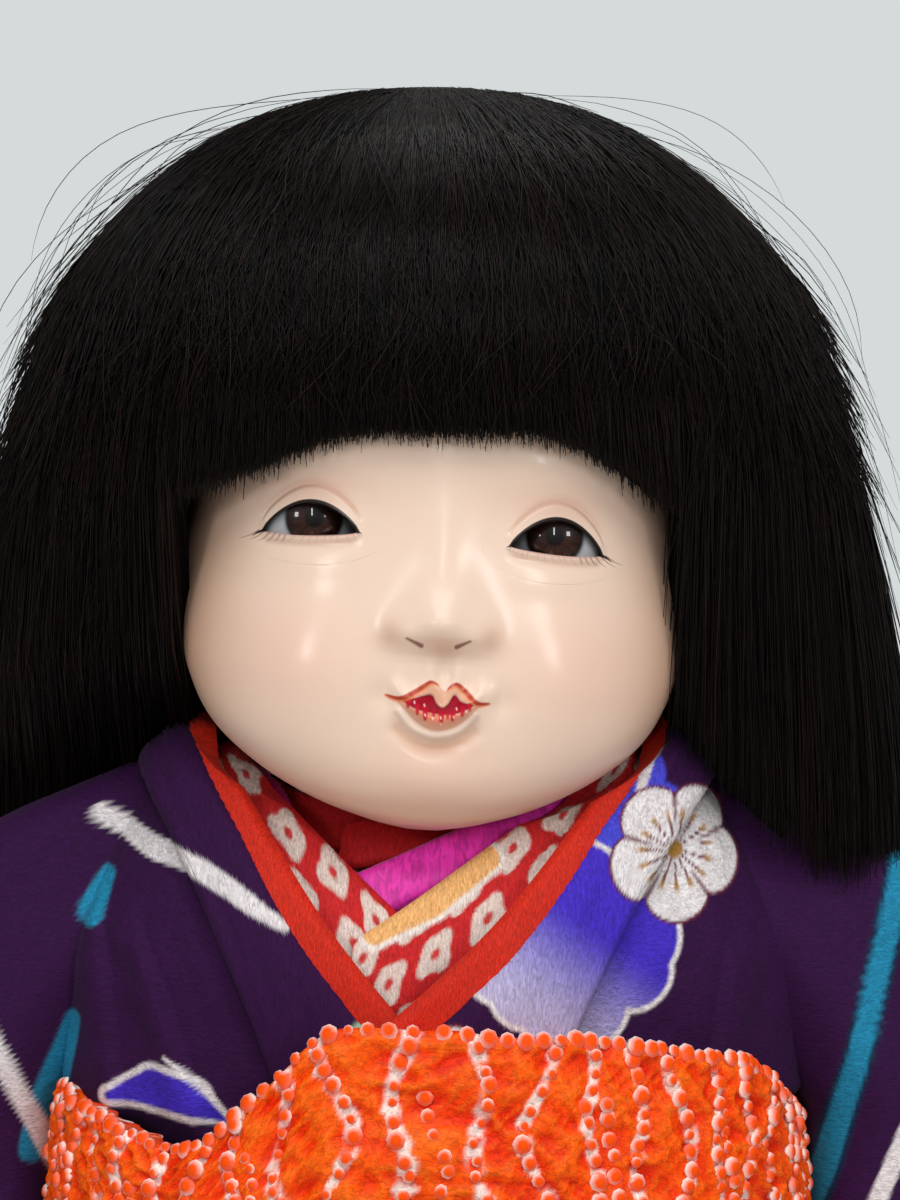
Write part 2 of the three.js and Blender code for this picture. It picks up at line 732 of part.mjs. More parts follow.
// Legs: a cloth thigh hung at the hip, and a composition lower leg with its foot
const heelReach = ankleRadius + 4;
const toeReach = footLength - heelReach;
const footRuns = [
  [-heelReach, 0.55, 0.62],
  [3 - heelReach, 0.82, 0.92],
  [14 - heelReach, 0.86, 1],
  [2, 0.92, 0.86],
  [toeReach - 8, 1, 0.6],
  [toeReach - 1, 0.82, 0.46],
  [toeReach, 0.5, 0.34],
];
const footHalfWidth = runThrough(footRuns.map(([ahead, wide]) => [ahead, (footWidth / 2) * wide]));
const footHalfHeight = runThrough(footRuns.map(([ahead, , tall]) => [ahead, (footHeight / 2) * tall]));

// A point on the foot's section at a distance ahead of the ankle, where angle 0 is the sole
function footPoint(angle, ahead, grow) {
  const rise = footHalfHeight(ahead);
  const [x, z] = ovalPoint(angle, footHalfWidth(ahead) + grow, rise + grow, rise + grow, 2.8);
  return new THREE.Vector3(x, -ahead - (ahead > 0 ? grow : -grow), footBase + rise + z);
}

function legForm(grow, top, rows) {
  const calf = runThrough([[footBase, ankleRadius], [ankleLevel, ankleRadius], [kneeLevel - 24, calfRadius],
    [kneeLevel, calfRadius - 1]]);
  const rings = levels(footBase + 4, top, rows).map((level) => turned(9).map((angle) => {
    const [x, y] = ovalPoint(angle, calf(level) + grow, calf(level) + grow, calf(level) + grow, 2);
    return new THREE.Vector3(x, y, level);
  }));
  const foot = loft(footRuns.map(([ahead]) => turned(8).map((angle) => footPoint(angle, ahead, grow))));
  return join(loft(rings), foot);
}

const legPlace = legSpacing / 2;

function makeThigh(side) {
  const base = kneeLevel + clearance;
  const profile = [[0, base], [calfRadius - 1, base], [thighRadius - 1, base + thighLength * 0.32]];
  const ball = levels(-0.2, Math.PI / 2, 4).map((angle) => (
    [thighRadius * Math.cos(angle), hipJointLevel + thighRadius * Math.sin(angle)]
  ));
  const points = [...profile, ...ball].map(([x, z]) => new THREE.Vector2(Math.max(x, 0), z));
  points[points.length - 1].x = 0;
  return new THREE.LatheGeometry(points, 16).rotateX(Math.PI / 2).translate(side * legPlace, 0, 0);
}

function makeLowerLeg(side) {
  return legForm(0, kneeLevel, 5).translate(side * legPlace, 0, 0);
}

function makeSock(side) {
  const top = ankleLevel + sockHeight;
  const outside = legForm(clearance + sockThickness, top, 2);
  const inside = legForm(clearance, top + 2, 2);
  const splitPlace = -side * footWidth * 0.14;
  const toeSplit = box([splitPlace - toeGap / 2, -footLength, footBase - 2 * sockLift],
    [splitPlace + toeGap / 2, -footLength * 0.5, ankleLevel]);
  const mouth = box([-footWidth, -footLength, top - 1], [footWidth, footLength, top + footHeight]);
  const sock = cut(outside, inside, mouth);
  return cut(sock, toeSplit).translate(side * legPlace, 0, 0);
}

function sandalOutline() {
  const outline = new THREE.Shape();
  const half = sandalWidth / 2;
  const straight = sandalLength / 2 - half;
  outline.moveTo(half, -straight);
  outline.lineTo(half * 0.9, straight);
  outline.absellipse(0, straight, half * 0.9, half, 0, Math.PI, false);
  outline.lineTo(-half, -straight);
  outline.absellipse(0, -straight, half, half, Math.PI, 2 * Math.PI, false);
  return outline;
}

const sandalSetForward = footLength / 2 - heelReach;

function makeSandal(side) {
  const settings = {
    depth: soleThickness - 2 * soleBevel,
    bevelThickness: soleBevel,
    bevelSize: soleBevel,
    bevelOffset: -soleBevel,
    bevelSegments: 1,
    curveSegments: 6,
  };
  const sole = new THREE.ExtrudeGeometry(sandalOutline(), settings)
    .translate(0, -sandalSetForward, soleBevel);
  return sole.translate(side * legPlace, 0, 0);
}

function makeStrap(side) {
  const stand = sockThickness + strapRadius + 2.5 * clearance;
  const path = curve(levels(-1, 1, 8).map((share) => {
    const ahead = (footLength - heelReach) * (0.72 - 0.62 * Math.abs(share));
    return footPoint(Math.PI + share * Math.PI * 0.6, ahead, stand).toArray();
  }));
  return limb(path, () => strapRadius, 16, 6).translate(side * legPlace, 0, 0);
}

// Garments: walls that follow the figure, cut open at the neck and the armholes
const clothAngles = turned(26, [wrapEdge - 1.2, wrapEdge + 1.2].map(THREE.MathUtils.degToRad));

function wrapLift(base) {
  const edge = THREE.MathUtils.degToRad(wrapEdge);
  const step = (angle) => wrapStep * (1 - THREE.MathUtils.smoothstep(angle, edge, Math.PI));
  return (angle) => base + (angle > edge ? step(angle) : 0);
}

function garment(lift, thickness, from, rows, overlap, angles) {
  const top = shoulderLevel - napeDrop;
  const heights = [
    ...levels(from, ribLevel, rows),
    ...levels(ribLevel + (armLevel - ribLevel) / 3, armLevel, 1),
    ...levels(armLevel + armDrop / 5, top, 5),
  ];
  const fade = (level) => 1 - THREE.MathUtils.smoothstep(level, sashBase, ribLevel);
  const inner = heights.map((level) => figureRing(level, lift, angles));
  const outer = heights.map((level) => {
    const raised = wrapLift(0);
    return figureRing(level, (angle) => lift + thickness + overlap * fade(level) * raised(angle), angles);
  });
  return wall(outer, inner);
}

// The line that a collar's inner edge follows on one breast, seen from the front
function collarLine(side, crossing, lift) {
  const topLevel = shoulderLevel - napeDrop;
  const start = new THREE.Vector2(side * (figureWidth(topLevel) + lift), topLevel);
  const along = new THREE.Vector2(crossingOffset, shoulderLevel - crossing).sub(start);
  const reach = along.length();
  return { start, along: along.normalize(), reach };
}

// The wedge of a neck opening, set outward from the collar's inner edge so that the collar covers its edge
function neckOpening(crossing, lift, setOut) {
  const corner = (side) => {
    const { start, along } = collarLine(side, crossing, lift);
    const outward = new THREE.Vector2(-along.y * side, along.x * side);
    return start.addScaledVector(outward, setOut).addScaledVector(along, -chestHalfWidth);
  };
  const left = collarLine(1, crossing, lift).along;
  const apex = new THREE.Vector2(crossingOffset, shoulderLevel - crossing - setOut / Math.abs(left.x));
  const above = new THREE.Vector2(0, chestLength);
  const outline = new THREE.Shape([apex, corner(1), corner(1).add(above), corner(-1).add(above), corner(-1)]);
  const settings = { depth: chestHalfDepth * 3, bevelEnabled: false };
  return new THREE.ExtrudeGeometry(outline, settings).rotateX(Math.PI / 2).translate(0, -1, 0);
}

function armhole() {
  const radius = upperArmRadius + armholeClearance;
  return rod(radius, chestHalfWidth * 4, 20).rotateZ(Math.PI / 2).translate(0, 0, armLevel);
}

function makeUnderKimono() {
  const body = garment(underKimonoLift, underKimonoThickness, hemLevel + hemRoll, 2, 0, turned(20));
  return cut(body, neckOpening(dottedCrossing, dottedLift, dottedCollarWidth * 0.6), armhole());
}

function makeKimono() {
  const body = garment(kimonoLift, kimonoThickness, hemLevel + hemRoll + clearance, 3, 1, clothAngles);
  return cut(body, neckOpening(accentCrossing, accentLift, accentShown + collarShelf), armhole());
}

function makeHem() {
  const heights = [0, 0.35, 1].map((share) => hemLevel + share * hemRoll);
  const swell = [0.35, 1, 0.8].map((share) => share * kimonoThickness);
  const raised = (index) => wrapLift(kimonoLift + swell[index]);
  const outer = heights.map((level, index) => figureRing(level, raised(index), clothAngles));
  const inner = heights.map((level) => figureRing(level, kimonoLift - layerGap, clothAngles));
  return wall(outer, inner);
}

// The level reached by going a distance down a layer from a given level
function levelBelow(angle, level, lift, distance) {
  const step = 0.5;
  let low = level;
  let last = figurePoint(angle, low, lift);
  let gone = 0;
  while (gone < distance) {
    low -= step;
    const next = figurePoint(angle, low, lift);
    gone += next.distanceTo(last);
    last = next;
  }
  return low;
}

// A collar: one long band that runs up one breast, round the neck and down the other, left over right.
// Round the neck the band is folded to a share of its width.
function makeCollar({ crossing, setIn, width, lift, thickness, over, tuck, columns }) {
  const across = levels(0, 1, columns);
  const strip = (angle, level, spread, climb, raise) => across.map((part) => {
    const low = levelBelow(angle, level, lift, (setIn + part * width) * spread);
    return figurePoint(angle, low, lift + climb + raise);
  });
  const breast = (side, share, raise) => {
    const { start, along, reach } = collarLine(side, crossing, lift);
    const spot = start.addScaledVector(along, share * (reach + tuck));
    const opened = THREE.MathUtils.smoothstep(share, 0, 0.45);
    const spread = THREE.MathUtils.lerp(collarFold, 1 / Math.abs(along.x), opened);
    const climb = over * (side > 0 ? 1 : 0) * THREE.MathUtils.smoothstep(share, 0.15, 0.55);
    return strip(frontAngle(spot.x, spot.y, lift), spot.y, spread, climb, raise);
  };
  const neck = (degrees, raise) => {
    const angle = THREE.MathUtils.degToRad(degrees);
    return strip(angle, shoulderLevel - napeDrop, collarFold, 0, raise);
  };
  const shares = [1, 0.86, 0.72, 0.58, 0.45, 0.33, 0.22, 0.13, 0.06];
  const turns = [88, 100, 112, 124, 137, 151, 166];
  const stations = (raise) => [
    ...shares.map((share) => breast(-1, share, raise)),
    ...turns.map((degrees) => neck(-degrees, raise)),
    neck(180, raise),
    ...turns.slice().reverse().map((degrees) => neck(degrees, raise)),
    ...shares.slice().reverse().map((share) => breast(1, share, raise)),
  ];
  const inside = stations(0);
  const outside = stations(thickness);
  return loft(inside.map((row, index) => [...row, ...outside[index].slice().reverse()]));
}

const collars = {
  undershirt_collar: {
    crossing: undershirtCrossing,
    setIn: 0,
    width: undershirtCollarWidth,
    lift: undershirtLift,
    thickness: thinCollar,
    over: thinCollar + layerGap,
    tuck: innerTuck,
    columns: 1,
    look: "red",
  },
  pink_collar: {
    crossing: pinkCrossing,
    setIn: 0,
    width: pinkCollarWidth,
    lift: pinkLift,
    thickness: thinCollar,
    over: thinCollar + layerGap,
    tuck: innerTuck,
    columns: 1,
    look: "pink",
  },
  dotted_collar: {
    crossing: dottedCrossing,
    setIn: 0,
    width: dottedCollarWidth,
    lift: dottedLift,
    thickness: dottedCollarThickness,
    over: dottedCollarThickness + layerGap,
    tuck: innerTuck,
    columns: 2,
    look: "red",
  },
  accent_collar: {
    crossing: accentCrossing,
    setIn: 0,
    width: accentWidth,
    lift: accentLift,
    thickness: accentThickness,
    over: outerCrossing,
    tuck: collarTuck,
    columns: 2,
    look: "vermilion",
  },
  kimono_collar: {
    crossing: accentCrossing,
    setIn: accentShown,
    width: kimonoCollarWidth,
    lift: kimonoCollarLift,
    thickness: kimonoCollarThickness,
    over: outerCrossing,
    tuck: collarTuck,
    columns: 2,
    look: "purple",
  },
};

// Sleeves: a hanging pouch round the arm, open at the shoulder and the wrist
function sleeveForm(shrink, sides) {
  const clear = sleeveClear;
  const inside = runThrough([
    [sleeveFoot, clear + 5],
    [sleeveFoot + 8, clear + 2],
    [armLevel - 90, clear],
    [armLevel + 2, clear],
    [armLevel + 12, sleeveInside],
    [sleeveTop, sleeveInside],
  ]);
  const outside = runThrough([
    [sleeveFoot, sleeveReach - 6],
    [sleeveFoot + 8, sleeveReach],
    [armLevel - 100, sleeveReach],
    [armLevel - 50, sleeveReach - 4],
    [armLevel, sleeveReach - 12],
    [armLevel + 14, sleeveReach - 24],
    [sleeveTop, sleeveInside + 14],
  ]);
  const half = runThrough([
    [sleeveFoot, sleeveHalfThickness * 0.18],
    [sleeveFoot + 8, sleeveHalfThickness * 0.6],
    [armLevel - 90, sleeveHalfThickness],
    [armLevel, sleeveHalfThickness * 0.95],
    [armLevel + 14, sleeveHalfThickness * 0.75],
    [sleeveTop, sleeveHalfThickness * 0.2],
  ]);
  const heights = [
    sleeveFoot + shrink,
    sleeveFoot + 12,
    armLevel - 90,
    armLevel - 45,
    armLevel - 14,
    armLevel + 2,
    armLevel + 12,
    sleeveTop - shrink,
  ];
  return loft(heights.map((level) => {
    const near = Math.max(inside(level), sleeveInside) + shrink;
    const far = outside(level) - shrink;
    const depth = Math.max(half(level) - shrink, 0.6);
    const drape = 1 - THREE.MathUtils.smoothstep(level, armLevel - 120, armLevel - 40);
    return turned(sides).map((angle) => {
      const [x, y] = ovalPoint(angle, (far - near) / 2, depth, depth, 2.6);
      const fold = sleeveFold * drape * Math.sin((x / armSpread) * 4 * Math.PI);
      return new THREE.Vector3(x + (far + near) / 2, y + sleeveSwing(level) + fold, level);
    });
  }));
}

function sleeveOpenings() {
  const through = sleeveClear + sleeveSkin + upperArmRadius * 0.66 - sleeveInside / 2;
  const armRoom = rod(upperArmRadius + armholeClearance, through, 16).rotateZ(Math.PI / 2)
    .translate((sleeveInside + through) / 2, 0, armLevel);
  const [wristX, wristY, wristZ] = wrist;
  const half = sleeveHalfThickness * 0.85;
  const wristRoom = box([wristX - 8, wristY - half, wristZ - wristOpening * 0.62],
    [sleeveReach + handLength, wristY + half, wristZ + wristOpening * 0.38]);
  return [armRoom, wristRoom];
}

function makeSleeve(side) {
  const pouch = cut(sleeveForm(0, 14), sleeveForm(sleeveThickness, 14), ...sleeveOpenings());
  return sided(pouch, side);
}

function makeUnderSleeve(side) {
  const skin = sleeveThickness + sleeveEase;
  const pouch = cut(sleeveForm(skin, 10), sleeveForm(skin + underSleeveThickness, 10), ...sleeveOpenings());
  return sided(pouch, side);
}

// Sash: a soft wide band whose upper edge dips, with a bow behind
function sashLevelTop(angle) {
  const dip = hill(THREE.MathUtils.radToDeg(angle) + 38, 17);
  return sashTop - sashDip * dip;
}

function makeSash() {
  const angles = turned(32);
  const shares = levels(0, 1, 4);
  const front = (angle) => THREE.MathUtils.smoothstep(Math.cos(angle), -0.1, 0.75);
  const insideLift = (angle) => THREE.MathUtils.lerp(sashLift, sashFrontLift, front(angle));
  const ring = (share, extra) => angles.map((angle) => {
    const level = THREE.MathUtils.lerp(sashBase, sashLevelTop(angle), share);
    return figurePoint(angle, Math.min(level, armLevel - 12), insideLift(angle) + extra).setZ(level);
  });
  const swell = shares.map((share) => sashThickness * (0.55 + 0.45 * Math.sin(Math.PI * share) ** 0.6));
  const outer = shares.map((share, index) => ring(share, swell[index]));
  return wall(outer, shares.map((share) => ring(share, 0)));
}

function makeCord() {
  const heights = [0, 1].map((share) => sashBase + sashHeight * 0.3 + share * cordHeight);
  const ring = (lift) => heights.map((level) => figureRing(level, lift, turned(24)));
  return wall(ring(cordLift + cordThickness), ring(cordLift));
}

const bowBack = waistHalfDepth + sashLift + sashThickness + clearance;
const bowLevel = sashBase + sashHeight * 0.62;

function makeKnot() {
  const rings = levels(-1, 1, 5).map((share) => turned(14).map((angle) => {
    const round = 1 - 0.35 * share ** 2;
    const deep = (knotDepth / 2) * round;
    const [x, y] = ovalPoint(angle, (knotWidth / 2) * round, deep, deep, 3);
    return new THREE.Vector3(x, bowBack + knotDepth / 2 + y, bowLevel + (share * knotHeight) / 2);
  }));
  return loft(rings);
}

function makeBowLoop(side) {
  const start = knotWidth / 2 + clearance;
  const rings = levels(0, 1, 5).map((share) => {
    const x = start + share * (bowReach - start);
    const swell = Math.sin(Math.PI * (0.22 + 0.66 * share)) ** 0.8;
    const tall = (bowHeight / 2) * swell * (0.7 + 0.3 * share);
    const deep = (bowDepth / 2) * swell;
    return turned(16).map((angle) => {
      const [z, y] = ovalPoint(angle, tall, deep, deep, 2.3);
      const dent = 1 - 0.12 * Math.cos(2 * angle);
      return new THREE.Vector3(x, bowBack + bowDepth / 2 + y * dent, bowLevel + z + share * 3);
    });
  });
  return sided(loft(rings), side);
}

function makeBowTail(side) {
  const top = bowLevel - knotHeight / 2 - clearance;
  const rings = levels(0, 1, 5).map((share) => turned(16).map((angle) => {
    const half = (tailWidth / 2) * (0.45 + 0.55 * share);
    const [x, y] = ovalPoint(angle, half, tailThickness / 2, tailThickness / 2, 3);
    const fold = 2 * Math.sin((x / tailWidth) * 3 * Math.PI) * share;
    const place = tailWidth * (0.24 + 0.34 * share);
    const behind = bowBack + knotDepth * 0.4 + fold + share * 4;
    return new THREE.Vector3(x + place, y + behind, top - share * tailLength);
  }));
  return sided(loft(rings), side);
}

// Assembly
const doll = new THREE.Group();
doll.position.y = (fringeFront - bowBack - bowDepth) / 2;

function place(name, geometry, look) {
  const mesh = new THREE.Mesh(geometry, new THREE.MeshStandardMaterial(finish[look]));
  mesh.name = name;
  doll.add(mesh);
}

place("head", makeHead(), "gofun");
place("left_eye", makeEye(1), "glass");
place("right_eye", makeEye(-1), "glass");

const hair = makeHair();
place("hair_fringe", hair.fringe, "hair");
place("hair_left_side", hair.left, "hair");
place("hair_right_side", hair.right, "hair");
place("hair_back", hair.back, "hair");

place("chest_shell", makeChest(), "gofun");
place("midriff_cloth", torsoPiece(waistLevel + clearance, ribLevel, 3), "cotton");
place("hip_shell", torsoPiece(crotchLevel, waistLevel, 5), "gofun");

for (const [name, side] of [["left", 1], ["right", -1]]) {
  place(`${name}_upper_arm`, makeUpperArm(side), "cotton");
  place(`${name}_forearm`, makeForearm(side), "gofun");
  place(`${name}_thigh`, makeThigh(side), "cotton");
  place(`${name}_lower_leg`, makeLowerLeg(side), "gofun");
  place(`${name}_sock`, makeSock(side), "white");
  place(`${name}_sandal`, makeSandal(side), "straw");
  place(`${name}_sandal_strap`, makeStrap(side), "red");
  place(`${name}_under_sleeve`, makeUnderSleeve(side), "red");
  place(`${name}_sleeve`, makeSleeve(side), "purple");
  place(`bow_${name}_loop`, makeBowLoop(side), "orange");
  place(`bow_${name}_tail`, makeBowTail(side), "orange");
}

for (const [name, collar] of Object.entries(collars)) place(name, makeCollar(collar), collar.look);
place("under_kimono", makeUnderKimono(), "red");
place("kimono", makeKimono(), "purple");
place("hem_lining", makeHem(), "red");
place("waist_cord", makeCord(), "pink");
place("sash", makeSash(), "orange");
place("bow_knot", makeKnot(), "orange");

export default doll;
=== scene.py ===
import json
import math
import random
import bmesh
import bpy
import numpy as np
from mathutils import Matrix
from mathutils.bvhtree import BVHTree

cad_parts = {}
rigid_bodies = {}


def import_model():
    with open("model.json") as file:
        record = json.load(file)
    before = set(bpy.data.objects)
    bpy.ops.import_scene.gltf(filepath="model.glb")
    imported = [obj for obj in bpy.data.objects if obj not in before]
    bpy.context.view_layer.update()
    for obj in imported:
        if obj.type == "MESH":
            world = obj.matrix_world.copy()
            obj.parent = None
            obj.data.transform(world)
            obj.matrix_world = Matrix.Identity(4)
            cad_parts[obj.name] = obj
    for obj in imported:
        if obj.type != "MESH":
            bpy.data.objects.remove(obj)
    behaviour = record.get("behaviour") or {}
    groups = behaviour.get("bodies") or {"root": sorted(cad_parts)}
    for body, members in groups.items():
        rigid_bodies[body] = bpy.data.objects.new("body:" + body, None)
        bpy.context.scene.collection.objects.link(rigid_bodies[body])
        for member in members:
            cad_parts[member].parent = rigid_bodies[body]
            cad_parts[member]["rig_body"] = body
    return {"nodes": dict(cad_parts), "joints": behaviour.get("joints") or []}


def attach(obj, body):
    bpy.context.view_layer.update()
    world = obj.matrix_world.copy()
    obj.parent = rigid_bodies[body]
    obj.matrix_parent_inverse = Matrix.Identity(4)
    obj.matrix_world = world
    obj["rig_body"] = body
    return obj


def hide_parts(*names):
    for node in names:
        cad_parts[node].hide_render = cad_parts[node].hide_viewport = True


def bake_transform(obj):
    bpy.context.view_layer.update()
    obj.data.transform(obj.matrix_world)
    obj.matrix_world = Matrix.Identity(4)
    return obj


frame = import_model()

scene = bpy.context.scene
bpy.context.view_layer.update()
shoulderJoint = next(j for j in frame["joints"] if j["name"] == "left_shoulder")
axisY = shoulderJoint["pos_m"][1] * 1000
rng = np.random.default_rng(7)


def linear(red, green, blue):
    share = np.array([red, green, blue]) / 255
    return np.where(share <= 0.04045, share / 12.92, ((share + 0.055) / 1.055) ** 2.4)


def smooth(value, start, end):
    share = np.clip((value - start) / (end - start), 0, 1)
    return share * share * (3 - 2 * share)


def hill(distance, spread):
    return np.exp(-((distance / spread) ** 2))


def between(value, ends):
    return (value > ends[0]) & (value < ends[1])


def mix(first, second, share):
    return first + (second - first) * share


# A smooth curve through named points, level before the first and after the last.
def runThrough(xs, ys, at):
    xs, ys = np.asarray(xs, float), np.asarray(ys, float)
    slopes = np.empty_like(ys)
    slopes[1:-1] = (ys[2:] - ys[:-2]) / (xs[2:] - xs[:-2])
    slopes[0] = (ys[1] - ys[0]) / (xs[1] - xs[0])
    slopes[-1] = (ys[-1] - ys[-2]) / (xs[-1] - xs[-2])
    at = np.clip(at, xs[0], xs[-1])
    i = np.clip(np.searchsorted(xs, at, side="right") - 1, 0, len(xs) - 2)
    h = xs[i + 1] - xs[i]
    t = (at - xs[i]) / h
    rise = (2 * t**3 - 3 * t**2 + 1) * ys[i] + (3 * t**2 - 2 * t**3) * ys[i + 1]
    return rise + h * ((t**3 - 2 * t**2 + t) * slopes[i] + (t**3 - t**2) * slopes[i + 1])


def signedPower(value, power):
    return np.sign(value) * np.abs(value) ** power


def ovalPoint(angle, width, front, back, squareness):
    x = width * signedPower(np.sin(angle), 2 / squareness)
    deep = np.where(np.cos(angle) > 0, front, back)
    return x, -deep * signedPower(np.cos(angle), 2 / squareness)


# Millimetres about the doll's axis become metres in the shared frame.
def toFrame(points):
    return (points + np.array([0, axisY, 0])) * 0.001


# A sheet of quads whose corners are rows by columns of points; it faces columns cross rows.
def gridMesh(name, points):
    rows, columns = points.shape[:2]
    bm = bmesh.new()
    bmesh.ops.create_grid(bm, x_segments=columns - 1, y_segments=rows - 1, size=1)
    mesh = bpy.data.meshes.new(name)
    bm.to_mesh(mesh)
    bm.free()
    mesh.vertices.foreach_set("co", toFrame(points.reshape(-1, 3)).ravel())
    mesh.shade_smooth()
    return mesh


def meshPoints(mesh):
    spots = np.empty(len(mesh.vertices) * 3)
    mesh.vertices.foreach_get("co", spots)
    return spots.reshape(-1, 3)


# A mesh of what an object's curve or modifiers make.
def finishedMesh(maker, name):
    mesh = bpy.data.meshes.new_from_object(maker.evaluated_get(bpy.context.evaluated_depsgraph_get()))
    mesh.name = name
    return mesh


# Joins the points that lie in one place; the gap is in metres.
def weld(mesh, gap=2e-6):
    bm = bmesh.new()
    bm.from_mesh(mesh)
    bmesh.ops.remove_doubles(bm, verts=bm.verts, dist=gap)
    bm.to_mesh(mesh)
    bm.free()
    mesh.shade_smooth()


# Takes the marked points out of a mesh, with the faces round them.
def cutAway(mesh, gone):
    bm = bmesh.new()
    bm.from_mesh(mesh)
    marked = [vert for vert, out in zip(bm.verts, np.ravel(gone)) if out]
    bmesh.ops.delete(bm, geom=marked, context="VERTS")
    bm.to_mesh(mesh)
    bm.free()


def plainTone(colour, shape):
    return np.broadcast_to(linear(*colour), (*shape, 3)).copy()


def setValue(mesh, name, values):
    attribute = mesh.attributes.new(name, "FLOAT", "POINT")
    attribute.data.foreach_set("value", np.asarray(values, np.float32).ravel())


def setColour(mesh, name, colours):
    flat = np.ones((len(mesh.vertices), 4), np.float32)
    flat[:, :3] = np.asarray(colours).reshape(-1, 3)
    attribute = mesh.attributes.new(name, "FLOAT_COLOR", "POINT")
    attribute.data.foreach_set("color", flat.ravel())


def setPlace(mesh, name, across, along):
    flat = np.zeros((len(mesh.vertices), 3), np.float32)
    flat[:, 0] = np.ravel(across)
    flat[:, 1] = np.ravel(along)
    attribute = mesh.attributes.new(name, "FLOAT_VECTOR", "POINT")
    attribute.data.foreach_set("vector", flat.ravel())


def addPiece(mesh, material, body=None, nodes=()):
    piece = bpy.data.objects.new(mesh.name, mesh)
    scene.collection.objects.link(piece)
    mesh.materials.clear()
    mesh.materials.append(material)
    if body:
        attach(piece, body)
    if nodes:
        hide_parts(*nodes)
    return piece


def addNode(tree, kind, **settings):
    node = tree.nodes.new(kind)
    for key, value in settings.items():
        setattr(node, key, value)
    return node


def newMaterial(name, colour, roughness, **values):
    material = bpy.data.materials.new(name)
    material.use_nodes = True
    tree = material.node_tree
    surface = tree.nodes["Principled BSDF"]
    surface.inputs["Base Color"].default_value = (*linear(*colour), 1)
    surface.inputs["Roughness"].default_value = roughness
    for key, value in values.items():
        surface.inputs[key.replace("_", " ")].default_value = value
    return material, tree, surface


def attributeNode(tree, name):
    return addNode(tree, "ShaderNodeAttribute", attribute_name=name)


# A surface whose colour is painted on the mesh's own points.
def paintedMaterial(name, colour, roughness, **values):
    material, tree, surface = newMaterial(name, colour, roughness, **values)
    tree.links.new(attributeNode(tree, "tone").outputs["Color"], surface.inputs["Base Color"])
    return material


# The photograph's frame, its lens and the place it was taken from.
shot = {
    "width": 900, "height": 1200, "lens": 86.4, "sensor": 36, "near": 0.01,
    "side": 3.7, "level": 409, "back": 536.9,
}

camera = bpy.data.cameras.new("camera")
camera.sensor_fit = "VERTICAL"
camera.sensor_height = shot["sensor"]
camera.lens = shot["lens"]
camera.clip_start = shot["near"]
cameraPiece = bpy.data.objects.new("camera", camera)
scene.collection.objects.link(cameraPiece)
cameraPiece.location = (shot["side"] / 1000, -shot["back"] / 1000, shot["level"] / 1000)
cameraPiece.rotation_euler = (math.pi / 2, 0, 0)
scene.camera = cameraPiece
scene.render.resolution_x = shot["width"]
scene.render.resolution_y = shot["height"]
scene.view_settings.view_transform = "Standard"

# A pale room: one broad soft lamp above the front, small lamps for the glints on the face, and a fill.
studio = {
    "floor": (214, 212, 208), "floorRoughness": 0.7, "floorSides": 96, "floorRadius": 4,
    "wall": (213, 218, 219), "fill": 0.3, "fillTint": (1, 0.98, 0.95, 1), "aim": (0, -0.03, 0.4),
    "key": {"place": (0.1, -0.9, 1.5), "size": (1.2, 0.8), "power": 12},
    "leftStrip": {"place": (-0.47, -0.85, 0.62), "size": (0.12, 0.15), "power": 1.2},
    "rightStrip": {"place": (0.49, -0.85, 0.62), "size": (0.12, 0.15), "power": 1.2},
    "frontStrip": {"place": (0.03, -0.98, 0.72), "size": (0.04, 0.26), "power": 0.9},
    "top": {"place": (0, 0.35, 1.3), "size": (0.7, 0.5), "power": 1.6},
}


def addLamp(name, settings):
    lamp = bpy.data.lights.new(name, "AREA")
    lamp.shape = "RECTANGLE"
    lamp.size, lamp.size_y = settings["size"]
    lamp.energy = settings["power"]
    piece = bpy.data.objects.new(name, lamp)
    scene.collection.objects.link(piece)
    piece.location = settings["place"]
    toward = np.array(studio["aim"]) - np.array(settings["place"])
    flat = math.hypot(toward[0], toward[1])
    tilt, turn = math.atan2(toward[2], flat), math.atan2(-toward[0], toward[1])
    piece.rotation_euler = (math.pi / 2 + tilt, 0, turn)


for lampName in ("key", "leftStrip", "rightStrip", "frontStrip", "top"):
    addLamp(lampName, studio[lampName])

world = bpy.data.worlds.new("world")
scene.world = world
world.use_nodes = True
worldTree = world.node_tree
worldTree.nodes.clear()
seenWall = addNode(worldTree, "ShaderNodeBackground")
seenWall.inputs["Color"].default_value = (*linear(*studio["wall"]), 1)
fillLight = addNode(worldTree, "ShaderNodeBackground")
fillLight.inputs["Color"].default_value = studio["fillTint"]
fillLight.inputs["Strength"].default_value = studio["fill"]
rayKind = addNode(worldTree, "ShaderNodeLightPath")
worldMix = addNode(worldTree, "ShaderNodeMixShader")
worldOut = addNode(worldTree, "ShaderNodeOutputWorld")
worldTree.links.new(rayKind.outputs["Is Camera Ray"], worldMix.inputs["Fac"])
worldTree.links.new(fillLight.outputs[0], worldMix.inputs[1])
worldTree.links.new(seenWall.outputs[0], worldMix.inputs[2])
worldTree.links.new(worldMix.outputs[0], worldOut.inputs["Surface"])

floorMesh = bpy.data.meshes.new("floor")
floorWork = bmesh.new()
bmesh.ops.create_circle(
    floorWork, cap_ends=True, segments=studio["floorSides"], radius=studio["floorRadius"])
floorWork.to_mesh(floorMesh)
floorWork.free()
floorPaint = newMaterial("floor", studio["floor"], studio["floorRoughness"])[0]
addPiece(floorMesh, floorPaint)
print("stage: studio done")

